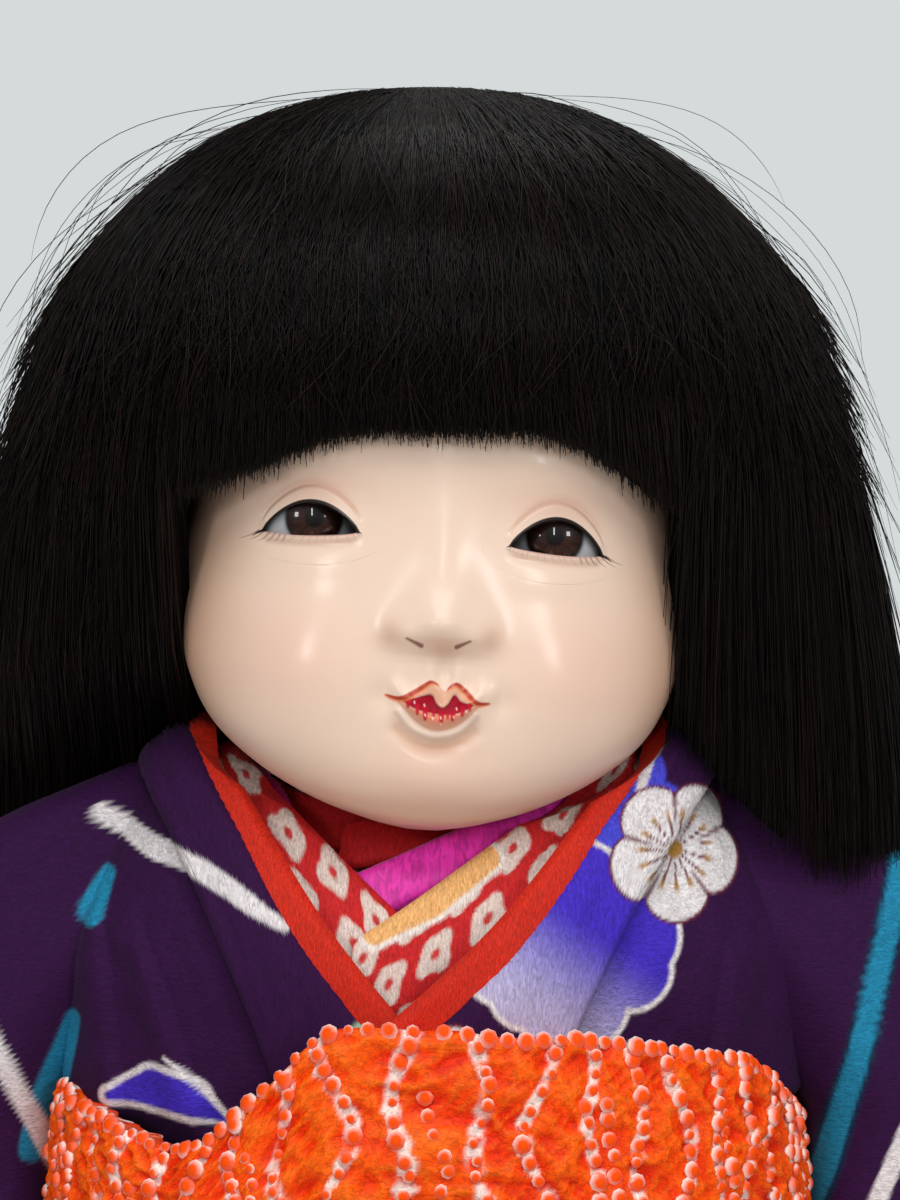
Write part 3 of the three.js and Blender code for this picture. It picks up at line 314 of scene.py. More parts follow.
# The head, in millimetres from the nose level: sections from the chin to the crown.
# A swell, blush or painted shade: share, middle, gap to each of a pair, spread, level and spread up and down.
head = {
    "crownRise": 86.5, "chinFall": 38.1, "halfWidth": 44.9, "faceDepth": 48, "skullDepth": 45,
    "noseLevel": 408, "setBack": 4, "yaw": 2, "roll": 3.4, "squareness": 2.3,
    "shares": [-1, -0.97, -0.89, -0.76, -0.58, -0.37, -0.16, 0.05,
               0.16, 0.35, 0.52, 0.69, 0.83, 0.925, 0.98, 1],
    "widths": [0.075, 0.2, 0.415, 0.63, 0.82, 0.93, 0.984, 1,
               1, 0.985, 0.94, 0.84, 0.66, 0.44, 0.21, 0.06],
    "fronts": [-0.72, -0.84, -0.91, -0.955, -0.985, -1, -1, -0.99,
               -0.985, -0.98, -0.93, -0.78, -0.56, -0.31, -0.07, 0.04],
    "middles": [-0.67, -0.66, -0.64, -0.6, -0.53, -0.42, -0.29, -0.16,
                -0.08, 0, 0, 0.04, 0.08, 0.1, 0.1, 0.1],
    "backs": [-0.68, -0.61, -0.55, -0.48, -0.32, 0.1, 0.55, 0.84,
              0.93, 1, 1, 0.91, 0.73, 0.49, 0.27, 0.16],
    # The shade and edge colours are painted shade on the skin.
    "skin": (240, 212, 192), "blush": (232, 188, 168), "shade": (205, 160, 134), "edge": (204, 146, 108),
    "nose": 0.6, "mouth": 1.7, "mouthHalf": 9.4, "gapHalf": 8,
    "bridge": ([-9.6, -8.4, -6.8, -5, -2.4, 2, 6, 10, 15, 20, 27],
               [0, 0.3, 1.4, 2.6, 3.0, 2.4, 1.7, 1.15, 0.75, 0.35, 0]),
    "bridgeWidth": 6.6, "bridgeTaper": 1.2,
    "swells": ((1.6, 0.6, 0, 4.4, -2.8, 3.4), (1.0, 0.6, 6.4, 3.0, -4.5, 3.0),
               (-0.45, 1.6, 0, 1.3, -10.6, 2.6), (0.35, 1.6, 2.4, 1.0, -10.8, 2.4),
               (-0.5, 1.7, 10.2, 2.3, -15.6, 2.6), (1.9, 0, 24, 12, -12, 12), (1.9, 0.6, 0, 10, -29.5, 6)),
    "blushes": ((0.55, 0, 25, 11, -9, 10), (0.35, 0, 0, 9, -27, 6)),
    "paintedShades": ((0.5, 0.6, 8.5, 2.2, -5.2, 2.4), (0.5, 1.6, 0, 3.5, -7.3, 1.5), (0.45, 1.6, 0, 6, -23.6, 1.7)),
    "roughness": 0.42, "gloss": 0.2, "coat": 0.42, "coatRoughness": 0.21,
    "columns": 281, "rows": 230, "crowding": 0.45, "underSheets": 1.6,
    "holeRise": 0.9, "holeFall": 0.5, "holeSide": 0.6,
    "axis": (0, -0.0089, 0.3669), "turns": (-15, -10, -5, 0, 5, 10),
    "room": 0.0004, "roomFoot": 0.352, "reach": 0.006,
}
headLevels = np.array([s * (head["chinFall"] if s < 0 else head["crownRise"]) for s in head["shares"]])

# Each eye's corners, lid and iris, in millimetres from the face's middle and the nose level.
eyes = {
    "right": {"outer": -30.0, "inner": -13.9, "outerLevel": 10.9, "innerLevel": 11.4, "rise": 4.9,
              "iris": (-21.4, 13.5)},
    "left": {"outer": 27.2, "inner": 11.3, "outerLevel": 10.0, "innerLevel": 10.6, "rise": 5.2,
             "iris": (18.9, 12.8)},
}
eyeBall = {
    "radius": 9.5, "recess": 1.5, "lift": 2.0, "irisRadius": 4.7, "pupilRadius": 1.6, "front": 1.2,
    "fall": 0.75, "crease": 2.7, "rings": 97,
    "white": (176, 180, 186), "limbus": (20, 10, 9), "pupil": (6, 4, 4),
    "dark": (28, 10, 5), "brown": (60, 26, 14), "shadow": (18, 9, 9), "glass": (60, 30, 24),
    "side": 4.6, "above": 11, "below": 5.5, "columns": 421, "rows": 105,
    "lidSwell": 0.34, "creaseCut": 0.14, "lowerSwell": 0.16, "lowerCut": 0.12, "bag": 0.3, "brow": 1.1,
    "browRise": 9, "browTall": 4.5, "bagFall": 5, "bagTall": 3,
}


def eyeMiddle(eye):
    return (eye["outer"] + eye["inner"]) / 2


def eyeHalf(eye):
    return abs(eye["outer"] - eye["inner"]) / 2


def eyeLevel(eye):
    return (eye["outerLevel"] + eye["innerLevel"]) / 2


def headRun(name, level, scale):
    return scale * runThrough(headLevels, head[name], level)


def lidShare(eye, x):
    return np.clip((x - eye["outer"]) / (eye["inner"] - eye["outer"]), 0, 1)


def lidCorner(eye, x):
    return mix(eye["outerLevel"], eye["innerLevel"], lidShare(eye, x))


def upperLid(eye, x):
    share = lidShare(eye, x)
    return lidCorner(eye, x) + eye["rise"] * np.sin(np.pi * share ** 0.96) ** 0.78


def lowerLid(eye, x):
    return lidCorner(eye, x) - eyeBall["fall"] * np.sin(np.pi * lidShare(eye, x)) ** 0.6


def eyeRelief(x, level):
    relief = np.zeros_like(x)
    for eye in eyes.values():
        middle, half = eyeMiddle(eye), eyeHalf(eye)
        reach = np.abs(x - middle) / half
        within = 1 - smooth(reach, 0.93, 1.12)
        above = level - upperLid(eye, x)
        below = lowerLid(eye, x) - level
        creaseLine = eyeBall["crease"] * (0.8 + 0.2 * np.cos(reach * np.pi / 2))
        lid = eyeBall["lidSwell"] * smooth(creaseLine - above, -0.3, 0.6)
        relief += within * np.where(above > -0.5, lid, 0)
        relief -= within * eyeBall["creaseCut"] * hill(above - creaseLine - 0.2, 0.4)
        relief += within * eyeBall["lowerSwell"] * hill(below - 0.35, 0.4)
        relief -= within * eyeBall["lowerCut"] * hill(below - 1.5, 0.8)
        bag = hill(level - eye["outerLevel"] + eyeBall["bagFall"], eyeBall["bagTall"])
        relief += eyeBall["bag"] * hill(x - middle, half * 0.9) * bag
        top = upperLid(eye, np.full_like(x, middle))
        brow = hill(level - top - eyeBall["browRise"], eyeBall["browTall"])
        relief += eyeBall["brow"] * hill(x - middle, half * 1.1) * brow
    return relief


# The mouth's lines, from the doll's right to its left.
lips = {
    "upper": ([-8.0, -5.5, -2.96, -0.9, -0.39, 0.6, 1.88, 2.9, 3.76, 5.0, 7.2, 9.4],
              [-15.1, -15.54, -14.3, -12.75, -12.57, -12.95, -13.92, -13.1, -12.72, -13.6, -15.6, -15.6]),
    "gapTop": ([-5.2, -2.96, -1.77, -0.19, 0.6, 1.58, 2.57, 3.46, 4.55, 6.5],
               [-15.75, -15.29, -14.93, -14.74, -16.07, -16.7, -15.95, -14.52, -15.44, -15.85]),
    "gapFoot": ([-5.2, -2.96, 0, 2.4, 4.94, 6.9], [-16.0, -17.2, -17.8, -17.9, -17.3, -16.1]),
    "foot": ([-6.2, -5.3, -2.96, -0.98, 1, 3.96, 5.9, 7.5, 8.0],
             [-16.1, -16.8, -19.05, -20.3, -20.7, -19.8, -18.3, -16.6, -16.2]),
    "drips": ((-4.1, -16.9, 0.7), (-2.5, -17.9, 0.75), (-1.18, -18.75, 0.85), (0.2, -18.1, 0.6),
              (1.49, -19.0, 0.9), (2.5, -18.3, 0.6), (3.36, -18.6, 0.85), (4.9, -17.8, 0.75),
              (6.1, -16.9, 0.6)),
    "glints": ((-3.06, -16.1), (-1.38, -16.5), (-1.18, -18.1), (0.1, -18.6), (1.39, -18.4), (1.49, -19.4),
               (3.56, -18.2), (3.96, -16.8), (5.54, -17.1)),
    "nostrils": (((-5.0, -5.6), (-2.5, -6.7)), ((5.5, -5.5), (3.3, -6.6))),
    "peach": (226, 166, 134), "flush": (220, 92, 58), "crimson": (160, 2, 34), "drip": (196, 14, 42),
    "deep": (112, 0, 26), "glint": (250, 220, 214), "nostril": (122, 74, 54),
    "ridgeHighlight": (250, 232, 216), "hollowShade": (194, 140, 108),
    "ridge": ([-5.6, -3.4, -1.1, 1.1, 4.1, 6.0, 7.1], [-17.7, -20.1, -21.2, -21.5, -20.7, -19.2, -17.6]),
    "hollow": ([-5.6, -3.6, -1.2, 1.2, 4.6, 7], [-20.6, -22.2, -23.3, -23.5, -22.4, -20.4]),
    "line": (178, 48, 20), "lineEdge": (230, 122, 62),
    "upperSwell": 0.5, "lowerSwell": 1.9, "ridgeSwell": 0.5, "hollowCut": 0.5, "gapCut": 0.4,
    "upperEnds": (-7.2, 8.4), "lowerEnds": (-6, 7.6), "gapEnds": (-5.1, 6.7), "bowGap": (0.75, 2.3),
}


# How far each place lies from a smooth line through a few points.
def lineGap(x, level, xs, ys):
    lineX = np.linspace(xs[0], xs[-1], 25)
    lineZ = runThrough(xs, ys, lineX)
    gap = np.full(x.shape, np.inf)
    for i in range(len(lineX) - 1):
        dx, dz = lineX[i + 1] - lineX[i], lineZ[i + 1] - lineZ[i]
        share = np.clip(((x - lineX[i]) * dx + (level - lineZ[i]) * dz) / (dx * dx + dz * dz), 0, 1)
        gap = np.minimum(gap, np.hypot(x - lineX[i] - share * dx, level - lineZ[i] - share * dz))
    return gap


def swells(x, level, rows):
    total = np.zeros_like(x)
    for share, middle, apart, wide, at, tall in rows:
        total += share * hill(np.abs(x - middle) - apart, wide) * hill(level - at, tall)
    return total


def noseAndMouth(x, level):
    bridge = runThrough(*head["bridge"], level)
    bridgeWidth = head["bridgeWidth"] - head["bridgeTaper"] * smooth(level, 0, 10)
    relief = bridge * hill(x - head["nose"], bridgeWidth)
    fromMouth = x - head["mouth"]
    across = np.clip(1 - (fromMouth / head["mouthHalf"]) ** 2, 0, 1)
    upper = runThrough(*lips["upper"], x)
    foot = runThrough(*lips["foot"], x)
    relief += lips["upperSwell"] * across * hill(level - upper + 1.3, 2.1)
    relief += lips["lowerSwell"] * across * hill(level - foot - 1.9, 1.9)
    relief += lips["ridgeSwell"] * hill(lineGap(x, level, *lips["ridge"]), 0.7)
    relief -= lips["hollowCut"] * hill(lineGap(x, level, *lips["hollow"]), 1.6)
    gapTop, gapFoot = runThrough(*lips["gapTop"], x), runThrough(*lips["gapFoot"], x)
    inGap = smooth(gapTop - level, -0.25, 0.3) * smooth(level - gapFoot, -0.5, 0.5)
    return relief - lips["gapCut"] * across * inGap * (np.abs(fromMouth) < head["gapHalf"])


def faceRelief(x, level):
    return noseAndMouth(x, level) + eyeRelief(x, level) + swells(x, level, head["swells"])


# The finer sheet that carries the nose and mouth, in millimetres.
mouthSheet = {"right": -14, "left": 16.5, "foot": -29.5, "top": 4.2, "columns": 190, "rows": 220}


# Where finer sheets lie over the face, the plain head keeps back under them.
def sheetCover(x, level):
    inside = np.minimum(x - mouthSheet["right"], mouthSheet["left"] - x)
    inside = np.minimum(inside, np.minimum(level - mouthSheet["foot"], mouthSheet["top"] - level))
    cover = smooth(inside, 1.2, 3.2)
    for eye in eyes.values():
        across = (x - eyeMiddle(eye)) / (eyeHalf(eye) + eyeBall["side"])
        up = level - eyeLevel(eye)
        away = np.hypot(across, up / np.where(up > 0, eyeBall["above"], eyeBall["below"]))
        cover = np.maximum(cover, smooth(away, 0.88, 0.7))
    return cover


def headTurn(x, y, level):
    roll, yaw = math.radians(head["roll"]), math.radians(head["yaw"])
    fore = y - head["setBack"]
    side, up = x * math.cos(roll) + level * math.sin(roll), level * math.cos(roll) - x * math.sin(roll)
    turned = side * math.cos(yaw) - fore * math.sin(yaw)
    deep = side * math.sin(yaw) + fore * math.cos(yaw) + head["setBack"]
    return np.stack([turned, deep, up + head["noseLevel"]], -1)


# The skin over a place on the face seen from the front, with the eye's hollow left out.
def faceDepth(x, level, relief=True):
    width = headRun("widths", level, head["halfWidth"])
    middle = headRun("middles", level, head["faceDepth"])
    front = middle - headRun("fronts", level, head["faceDepth"])
    power = head["squareness"]
    cosine = np.sqrt(np.clip(1 - np.clip(np.abs(x) / width, 0, 1) ** power, 0, 1))
    lift = faceRelief(x, level) if relief else 0
    return middle - front * cosine ** (2 / power) - lift * np.sqrt(cosine)


def paintOver(tone, colour, cover):
    return tone + (linear(*colour) - tone) * np.clip(cover, 0, 1)[..., None]


def skinAndPaintedShade(x, level):
    tone = plainTone(head["skin"], x.shape)
    blush = swells(x, level, head["blushes"])
    for eye in eyes.values():
        middle = eyeMiddle(eye)
        lid = upperLid(eye, np.full_like(x, middle))
        blush += 0.5 * hill(x - middle, 10) * hill(level - lid - 2.5, 3)
    tone = paintOver(tone, head["blush"], blush)
    # Painted shade beside the nose's wings, under its tip and under the lower lip.
    tone = paintOver(tone, head["shade"], swells(x, level, head["paintedShades"]))
    # Painted shade with a warm painted reflection from the kimono: darker and browner towards the face's
    # sides and chin.
    rim = 0.6 * smooth(np.abs(x), 27, 45) + 0.4 * smooth(-level, 22, 38)
    return paintOver(tone, head["edge"], np.clip(rim, 0, 0.7))


# How much of each place a painted line covers, from its points and its widths.
def strokeCover(x, level, points, widths, soft=0.06):
    cover = np.zeros_like(x)
    for start, end, wide, narrow in zip(points[:-1], points[1:], widths[:-1], widths[1:]):
        dx, dz = end[0] - start[0], end[1] - start[1]
        share = np.clip(((x - start[0]) * dx + (level - start[1]) * dz) / (dx * dx + dz * dz), 0, 1)
        gap = np.hypot(x - start[0] - share * dx, level - start[1] - share * dz)
        half = mix(wide, narrow, share) / 2
        cover = np.maximum(cover, 1 - smooth(gap, half - soft, half + soft))
    return cover


skinPaint = paintedMaterial(
    "painted skin", head["skin"], head["roughness"], Specular_IOR_Level=head["gloss"],
    Coat_Weight=head["coat"], Coat_Roughness=head["coatRoughness"])

sideShare = np.linspace(-1, 1, head["columns"])
headAngle = np.pi * (0.5 * sideShare + 0.5 * sideShare**3)
ends = np.linspace(0, 1, head["rows"])
ends = ends - np.sin(2 * np.pi * ends) / (2 * np.pi) * head["crowding"]
angle, level = np.meshgrid(headAngle, mix(headLevels[0], headLevels[-1], ends))
width = headRun("widths", level, head["halfWidth"])
middle = headRun("middles", level, head["faceDepth"])
front = middle - headRun("fronts", level, head["faceDepth"])
back = headRun("backs", level, head["skullDepth"]) - middle
x, y = ovalPoint(angle, width, front, back, head["squareness"])
facing = np.clip(np.cos(angle), 0, 1)
y = y + middle - (faceRelief(x, level) - head["underSheets"] * sheetCover(x, level)) * np.sqrt(facing)
headMesh = gridMesh("head_skin", headTurn(x, y, level))
setColour(headMesh, "tone", skinAndPaintedShade(x, level))
hole = np.zeros(x.shape, bool)
for eye in eyes.values():
    inside = (level < upperLid(eye, x) + head["holeRise"]) & (level > lowerLid(eye, x) - head["holeFall"])
    hole |= inside & (facing > 0) & (np.abs(x - eyeMiddle(eye)) < eyeHalf(eye) + head["holeSide"])
cutAway(headMesh, hole)
weld(headMesh)
addPiece(headMesh, skinPaint, "head", ["head"])
print("stage: head done")

# Lids and the painted lines round an eye: rings from the opening outwards, and a rim turned in to the glass.
lidPaint = {
    "line": (30, 17, 14), "lash": (96, 72, 62), "inner": (74, 40, 34), "crease": (204, 148, 122),
    "creaseShade": (214, 168, 146), "wet": (214, 170, 158), "under": (196, 156, 134),
    "longLashes": 6, "shortLashes": 9, "proud": 0.04, "rimDepth": 2.6, "rimRings": 6,
}


# The lid's line, its corners and its lashes, drawn on the skin's colours.
def paintLid(tone, eye, x, z, draw):
    side = 1 if eye["inner"] > eye["outer"] else -1
    line = np.linspace(0, 1, 25)
    lidX = eye["outer"] + (eye["inner"] - eye["outer"]) * line
    lid = list(zip(lidX, upperLid(eye, lidX)))
    wide = 0.45 + 0.55 * np.sin(np.pi * line) ** 0.8
    tone = paintOver(tone, lidPaint["line"], strokeCover(x, z, lid, wide, 0.09))
    outer, outerLevel = eye["outer"], eye["outerLevel"]
    corner = [(outer + side * 0.6, outerLevel + 0.3), (outer - side * 0.9, outerLevel - 0.35),
              (outer - side * 1.7, outerLevel - 0.9)]
    tone = paintOver(tone, lidPaint["line"], strokeCover(x, z, corner, [0.55, 0.32, 0.1], 0.07))
    inner = [(eye["inner"] - side * 0.8, eye["innerLevel"] + 0.5),
             (eye["inner"] + side * 0.5, eye["innerLevel"] - 0.2)]
    tone = paintOver(tone, lidPaint["inner"], strokeCover(x, z, inner, [0.5, 0.15], 0.08))
    for i in range(lidPaint["longLashes"]):
        startX = outer + side * (0.9 * i - 0.6)
        start = (startX, float(lowerLid(eye, np.array(startX))) + 0.1 - 0.04 * i)
        long = 3.6 - 0.5 * i + draw.uniform(-0.3, 0.3)
        tip = (start[0] - side * long * (0.92 - 0.1 * i), start[1] - long * (0.42 + 0.09 * i))
        bend = ((start[0] + tip[0]) / 2, (start[1] + tip[1]) / 2 - 0.22)
        lash = strokeCover(x, z, [start, bend, tip], [0.17, 0.13, 0.05], 0.07)
        tone = paintOver(tone, lidPaint["lash"], 0.85 * lash)
    for i in range(lidPaint["shortLashes"]):
        startX = mix(outer, eye["inner"], 0.34 + 0.075 * i + draw.uniform(-0.02, 0.02))
        start = (startX, float(lowerLid(eye, np.array(startX))) - 0.15)
        lean = side * (0.9 - 0.19 * i) + draw.uniform(-0.2, 0.2)
        tip = (start[0] - lean, start[1] - draw.uniform(0.8, 1.35))
        tone = paintOver(tone, lidPaint["lash"], 0.35 * strokeCover(x, z, [start, tip], [0.12, 0.04], 0.06))
    return tone


def eyePatch(name, eye):
    turn = np.linspace(0, 2 * np.pi, eyeBall["columns"])
    middle, half = eyeMiddle(eye), (eye["inner"] - eye["outer"]) / 2
    edgeX = middle - half * np.cos(turn)
    edgeZ = np.where(np.sin(turn) >= 0, upperLid(eye, edgeX), lowerLid(eye, edgeX))
    farX = middle - (half + math.copysign(eyeBall["side"], half)) * np.cos(turn)
    tall = np.where(np.sin(turn) >= 0, eyeBall["above"], eyeBall["below"])
    farZ = eyeLevel(eye) + tall * np.sin(turn)
    outward = np.linspace(0, 1, eyeBall["rows"])[:, None] ** 1.25
    x = edgeX + (farX - edgeX) * outward
    z = edgeZ + (farZ - edgeZ) * outward
    y = faceDepth(x, z) - lidPaint["proud"]
    inward = np.linspace(1, 0, lidPaint["rimRings"] + 1)[:-1, None]
    rimX = edgeX + (middle - edgeX) * 0.05 * inward
    rimZ = edgeZ + ((eye["outerLevel"] + 1.5) - edgeZ) * 0.10 * inward
    rimY = y[:1] + lidPaint["rimDepth"] * inward**0.8
    x, z, y = np.vstack([rimX, x]), np.vstack([rimZ, z]), np.vstack([rimY, y])
    tone = skinAndPaintedShade(x, z)
    above, below = z - upperLid(eye, x), lowerLid(eye, x) - z
    reach = np.abs(x - middle) / abs(half)
    crease = eyeBall["crease"] * (0.8 + 0.2 * np.cos(reach * np.pi / 2))
    fade = 1 - smooth(reach, 0.85, 1.06)
    tone = paintOver(tone, lidPaint["crease"], 0.5 * fade * hill(above - crease - 0.1, 0.24))
    tone = paintOver(tone, lidPaint["creaseShade"], 0.35 * fade * hill(above - crease - 0.7, 0.8))
    tone = paintOver(tone, lidPaint["wet"], 0.8 * smooth(reach, 1.02, 0.95) * hill(below - 0.05, 0.3))
    # Painted shade under the lower lid.
    tone = paintOver(tone, lidPaint["under"], 0.55 * fade * hill(below - 1.2, 0.6))
    tone = paintLid(tone, eye, x, z, random.Random(name))
    order = -1 if half < 0 else 1
    mesh = gridMesh(name + "_lids", headTurn(x, y, z)[:, ::order])
    setColour(mesh, "tone", tone[:, ::order])
    weld(mesh)
    addPiece(mesh, skinPaint, "head")


# A glass eye: a ball with its pole turned forward, ringed by the pupil, the iris and the white.
glass = paintedMaterial(
    "eye glass", eyeBall["glass"], 0.35, Specular_IOR_Level=0.12, Coat_Weight=0.6, Coat_Roughness=0.015)


def glassEye(name, eye):
    ball, iris, pupil = eyeBall["radius"], eyeBall["irisRadius"], eyeBall["pupilRadius"]
    middle = eyeMiddle(eye)
    centreZ = eyeLevel(eye) + eyeBall["lift"]
    skin = float(faceDepth(np.array([middle]), np.array([centreZ]), relief=False)[0])
    centreY = skin + eyeBall["recess"] + ball
    gap = np.linspace(0, np.pi, eyeBall["rings"]) ** 1.5 / np.pi**0.5
    gap, turn = np.meshgrid(gap, np.linspace(0, 2 * np.pi, eyeBall["rings"]), indexing="ij")
    lookX, lookZ = (eye["iris"][0] - middle) / ball, (eye["iris"][1] - centreZ) / ball
    x, z, y = np.sin(gap) * np.cos(turn), np.sin(gap) * np.sin(turn), -np.cos(gap)
    x, y = x * math.cos(lookX) - y * math.sin(lookX), x * math.sin(lookX) + y * math.cos(lookX)
    z, y = z * math.cos(lookZ) - y * math.sin(lookZ), z * math.sin(lookZ) + y * math.cos(lookZ)
    out = ball * np.sin(gap)
    onFront = gap < eyeBall["front"]
    tone = plainTone(eyeBall["white"], gap.shape)
    spokes = 0.5 + 0.5 * np.sin(turn * 23 + 2 * np.sin(turn * 7))
    brown = mix(linear(*eyeBall["dark"]), linear(*eyeBall["brown"]), spokes[..., None] * 0.8)
    # The iris darkens towards its rim, and a painted reflection lightens its lower half.
    brown *= (1.25 - 0.5 * smooth(out, 1.8, 4.4) - 0.3 * smooth(z, -0.1, 0.25))[..., None]
    tone += (brown - tone) * (onFront * (1 - smooth(out, iris - 0.2, iris + 0.2)))[..., None]
    tone = paintOver(tone, eyeBall["limbus"], onFront * 0.9 * hill(out - iris + 0.1, 0.42))
    tone = paintOver(tone, eyeBall["pupil"], onFront * (1 - smooth(out, pupil - 0.12, pupil + 0.12)))
    shadow = smooth(z * ball + centreZ - upperLid(eye, middle + x * ball), -2.4, 0)
    tone = paintOver(tone, eyeBall["shadow"], 0.75 * shadow)
    points = headTurn(middle + ball * x, centreY + ball * y, centreZ + ball * z)
    mesh = gridMesh(name + "_glass", points[:, ::-1])
    setColour(mesh, "tone", tone[:, ::-1])
    weld(mesh)
    addPiece(mesh, glass, "head", [name])


for side, eye in eyes.items():
    eyePatch(side + "_eye", eye)
    glassEye(side + "_eye", eye)

lipPaint = paintedMaterial("lip red", lips["crimson"], 0.55, Specular_IOR_Level=0.15)


# The nose and mouth, on a finer sheet than the head, with their painted lines.
def mouthPatch():
    across = np.linspace(-1, 1, mouthSheet["columns"])
    rise = np.linspace(0, 1, mouthSheet["rows"])
    sheetMiddle = (mouthSheet["left"] + mouthSheet["right"]) / 2
    sheetHalf = (mouthSheet["left"] - mouthSheet["right"]) / 2
    across = sheetMiddle + sheetHalf * (0.6 * across + 0.4 * across**3)
    levels = np.interp(rise, [0, 0.12, 0.8, 1], [mouthSheet["foot"], -24, -5, mouthSheet["top"]])
    x, z = np.meshgrid(across, levels)
    y = faceDepth(x, z) - 0.02
    tone = skinAndPaintedShade(x, z)
    upper, foot = runThrough(*lips["upper"], x), runThrough(*lips["foot"], x)
    gapTop, gapFoot = runThrough(*lips["gapTop"], x), runThrough(*lips["gapFoot"], x)
    inUpper = smooth(upper - z, -0.1, 0.15) * smooth(z - gapTop, -0.1, 0.2) * between(x, lips["upperEnds"])
    inLower = smooth(gapFoot - z, -0.1, 0.2) * smooth(z - foot, -0.15, 0.2) * between(x, lips["lowerEnds"])
    tone = paintOver(tone, lips["peach"], 0.85 * inUpper)
    tone = paintOver(tone, lips["peach"], 0.9 * inLower)
    tone = paintOver(tone, lips["flush"], 0.7 * inLower * smooth(z - foot, 0.5, 2.2))
    inGap = smooth(gapTop - z, -0.1, 0.2) * smooth(z - gapFoot, -0.15, 0.25) * between(x, lips["gapEnds"])
    tone = paintOver(tone, lips["crimson"], inGap)
    opening = inGap
    for dripX, end, wide in lips["drips"]:
        top = float(runThrough(*lips["gapFoot"], np.array(dripX))) + 0.6
        drip = strokeCover(x, z, [(dripX, top), (dripX, end)], [wide * 1.3, wide * 0.6], 0.2)
        tone = paintOver(tone, lips["drip"], 0.95 * drip)
        opening = np.maximum(opening, drip)
    tone = paintOver(tone, lips["deep"], 0.6 * inGap * hill(x - 1.5, 2.6) * hill(z + 16.9, 0.8))
    for spotX, spotZ in lips["glints"]:
        spot = [(spotX - 0.05, spotZ + 0.15), (spotX + 0.05, spotZ - 0.15)]
        tone = paintOver(tone, lips["glint"], 0.9 * strokeCover(x, z, spot, [0.22, 0.16], 0.1))
    bowEnds = (lips["upper"][0][0], lips["bowGap"][0]), (lips["bowGap"][1], lips["upper"][0][-1])
    for first, last in bowEnds:
        line = np.linspace(0, 1, 40)
        lineX = mix(first, last, line)
        bow = list(zip(lineX, runThrough(*lips["upper"], lineX)))
        wide = 0.12 + 0.62 * np.sin(np.pi * line) ** 0.6
        tone = paintOver(tone, lips["lineEdge"], 0.8 * strokeCover(x, z + 0.2, bow, wide * 1.5, 0.2))
        tone = paintOver(tone, lips["line"], 0.95 * strokeCover(x, z, bow, wide, 0.14))
    for nostril in lips["nostrils"]:
        tone = paintOver(tone, lips["nostril"], 0.9 * strokeCover(x, z, nostril, [0.35, 0.75], 0.2))
    # Painted highlight along the ridge under the lower lip, and painted shade in the hollow below it.
    tone = paintOver(tone, lips["ridgeHighlight"], 0.55 * hill(lineGap(x, z, *lips["ridge"]), 0.5))
    tone = paintOver(tone, lips["hollowShade"], 0.5 * hill(lineGap(x, z, *lips["hollow"]), 1.1))
    for name, forward, material in (("mouth_paint", 0, skinPaint), ("mouth_red", 0.05, lipPaint)):
        mesh = gridMesh(name, headTurn(x, y - forward, z))
        setColour(mesh, "tone", tone)
        if material == lipPaint:
            cutAway(mesh, opening < 0.5)
        addPiece(mesh, material, "head")


mouthPatch()
print("stage: face done")

# The hair's outer form: sections from its lower edge to the crown, cut to a fringe above the eyes.
hair = {
    "foot": 371.9, "top": 502.2, "halfWidth": 85, "frontDepth": 57, "backDepth": 58, "squareness": 2.4,
    "shares": [0, 0.14, 0.3, 0.44, 0.58, 0.72, 0.85, 0.94, 0.985, 1],
    "widths": [1.02, 1, 0.955, 0.9, 0.84, 0.755, 0.59, 0.4, 0.2, 0.03],
    "fronts": [0.42, 0.5, 0.64, 0.88, 1, 0.97, 0.74, 0.44, 0.18, 0.02],
    "backs": [1.04, 1.06, 1.06, 1.05, 1.03, 0.98, 0.8, 0.54, 0.28, 0.06],
    "fringe": ([-46, -34.6, -27.2, -14.2, 3, 20.8, 31.4, 38.7, 46],
               [426, 429.4, 431.8, 436.2, 436.6, 435.9, 431.8, 427, 422]),
    "inner": ([372, 385, 408, 428, 440], [43, 43, 43.4, 43.4, 44]),
    "leftFoot": ([40, 46, 58, 70, 86], [392, 384, 371, 362, 353]),
    "rightFoot": ([35, 49, 65, 82], [378, 372, 362, 354]), "backFoot": 345,
    "colour": (8, 6, 6), "brown": (36, 23, 18), "under": (7, 5, 5),
    "strand": 0.115, "mass": 1.3, "least": 0.3,
    "fringeStrands": 5400, "sideStrands": 1900, "backStrands": 1400, "layered": 0.45,
    "stray": 1700, "flyaways": 420, "arcs": 26, "flicked": 900, "quickShare": 0.12,
    "fringeLevel": 437.0, "fringeHalf": 44.0, "fringeThick": 6.5, "curtainThick": 6, "curtainStart": 0.45,
    "curtainTurn": 1.4, "curtainEnd": 3.14, "innerHalf": 43.0, "innerLevel": 374.0,
    "neckFoot": (0, 0, 0.345), "neckTop": (0, 0, 0.40),
}
hairLevels = np.array(hair["shares"]) * (hair["top"] - hair["foot"]) + hair["foot"]


# Behind the doll's right shoulder the hair falls further back, and over its left shoulder it hangs in front.
def hairPoint(angle, level, inset):
    width = hair["halfWidth"] * runThrough(hairLevels, hair["widths"], level) - inset
    front = hair["frontDepth"] * runThrough(hairLevels, hair["fronts"], level) - inset
    back = hair["backDepth"] * runThrough(hairLevels, hair["backs"], level) - inset
    low = smooth(level, 402, 370)
    front = front * np.where(angle < 0, 1 - 1.35 * low, 1 + 0.12 * low)
    width, back = np.maximum(width, hair["least"]), np.maximum(back, hair["least"])
    front = np.where(angle < 0, front, np.maximum(front, hair["least"]))
    x, y = ovalPoint(angle, width, front, back, hair["squareness"])
    return np.stack([x, y, level], -1)


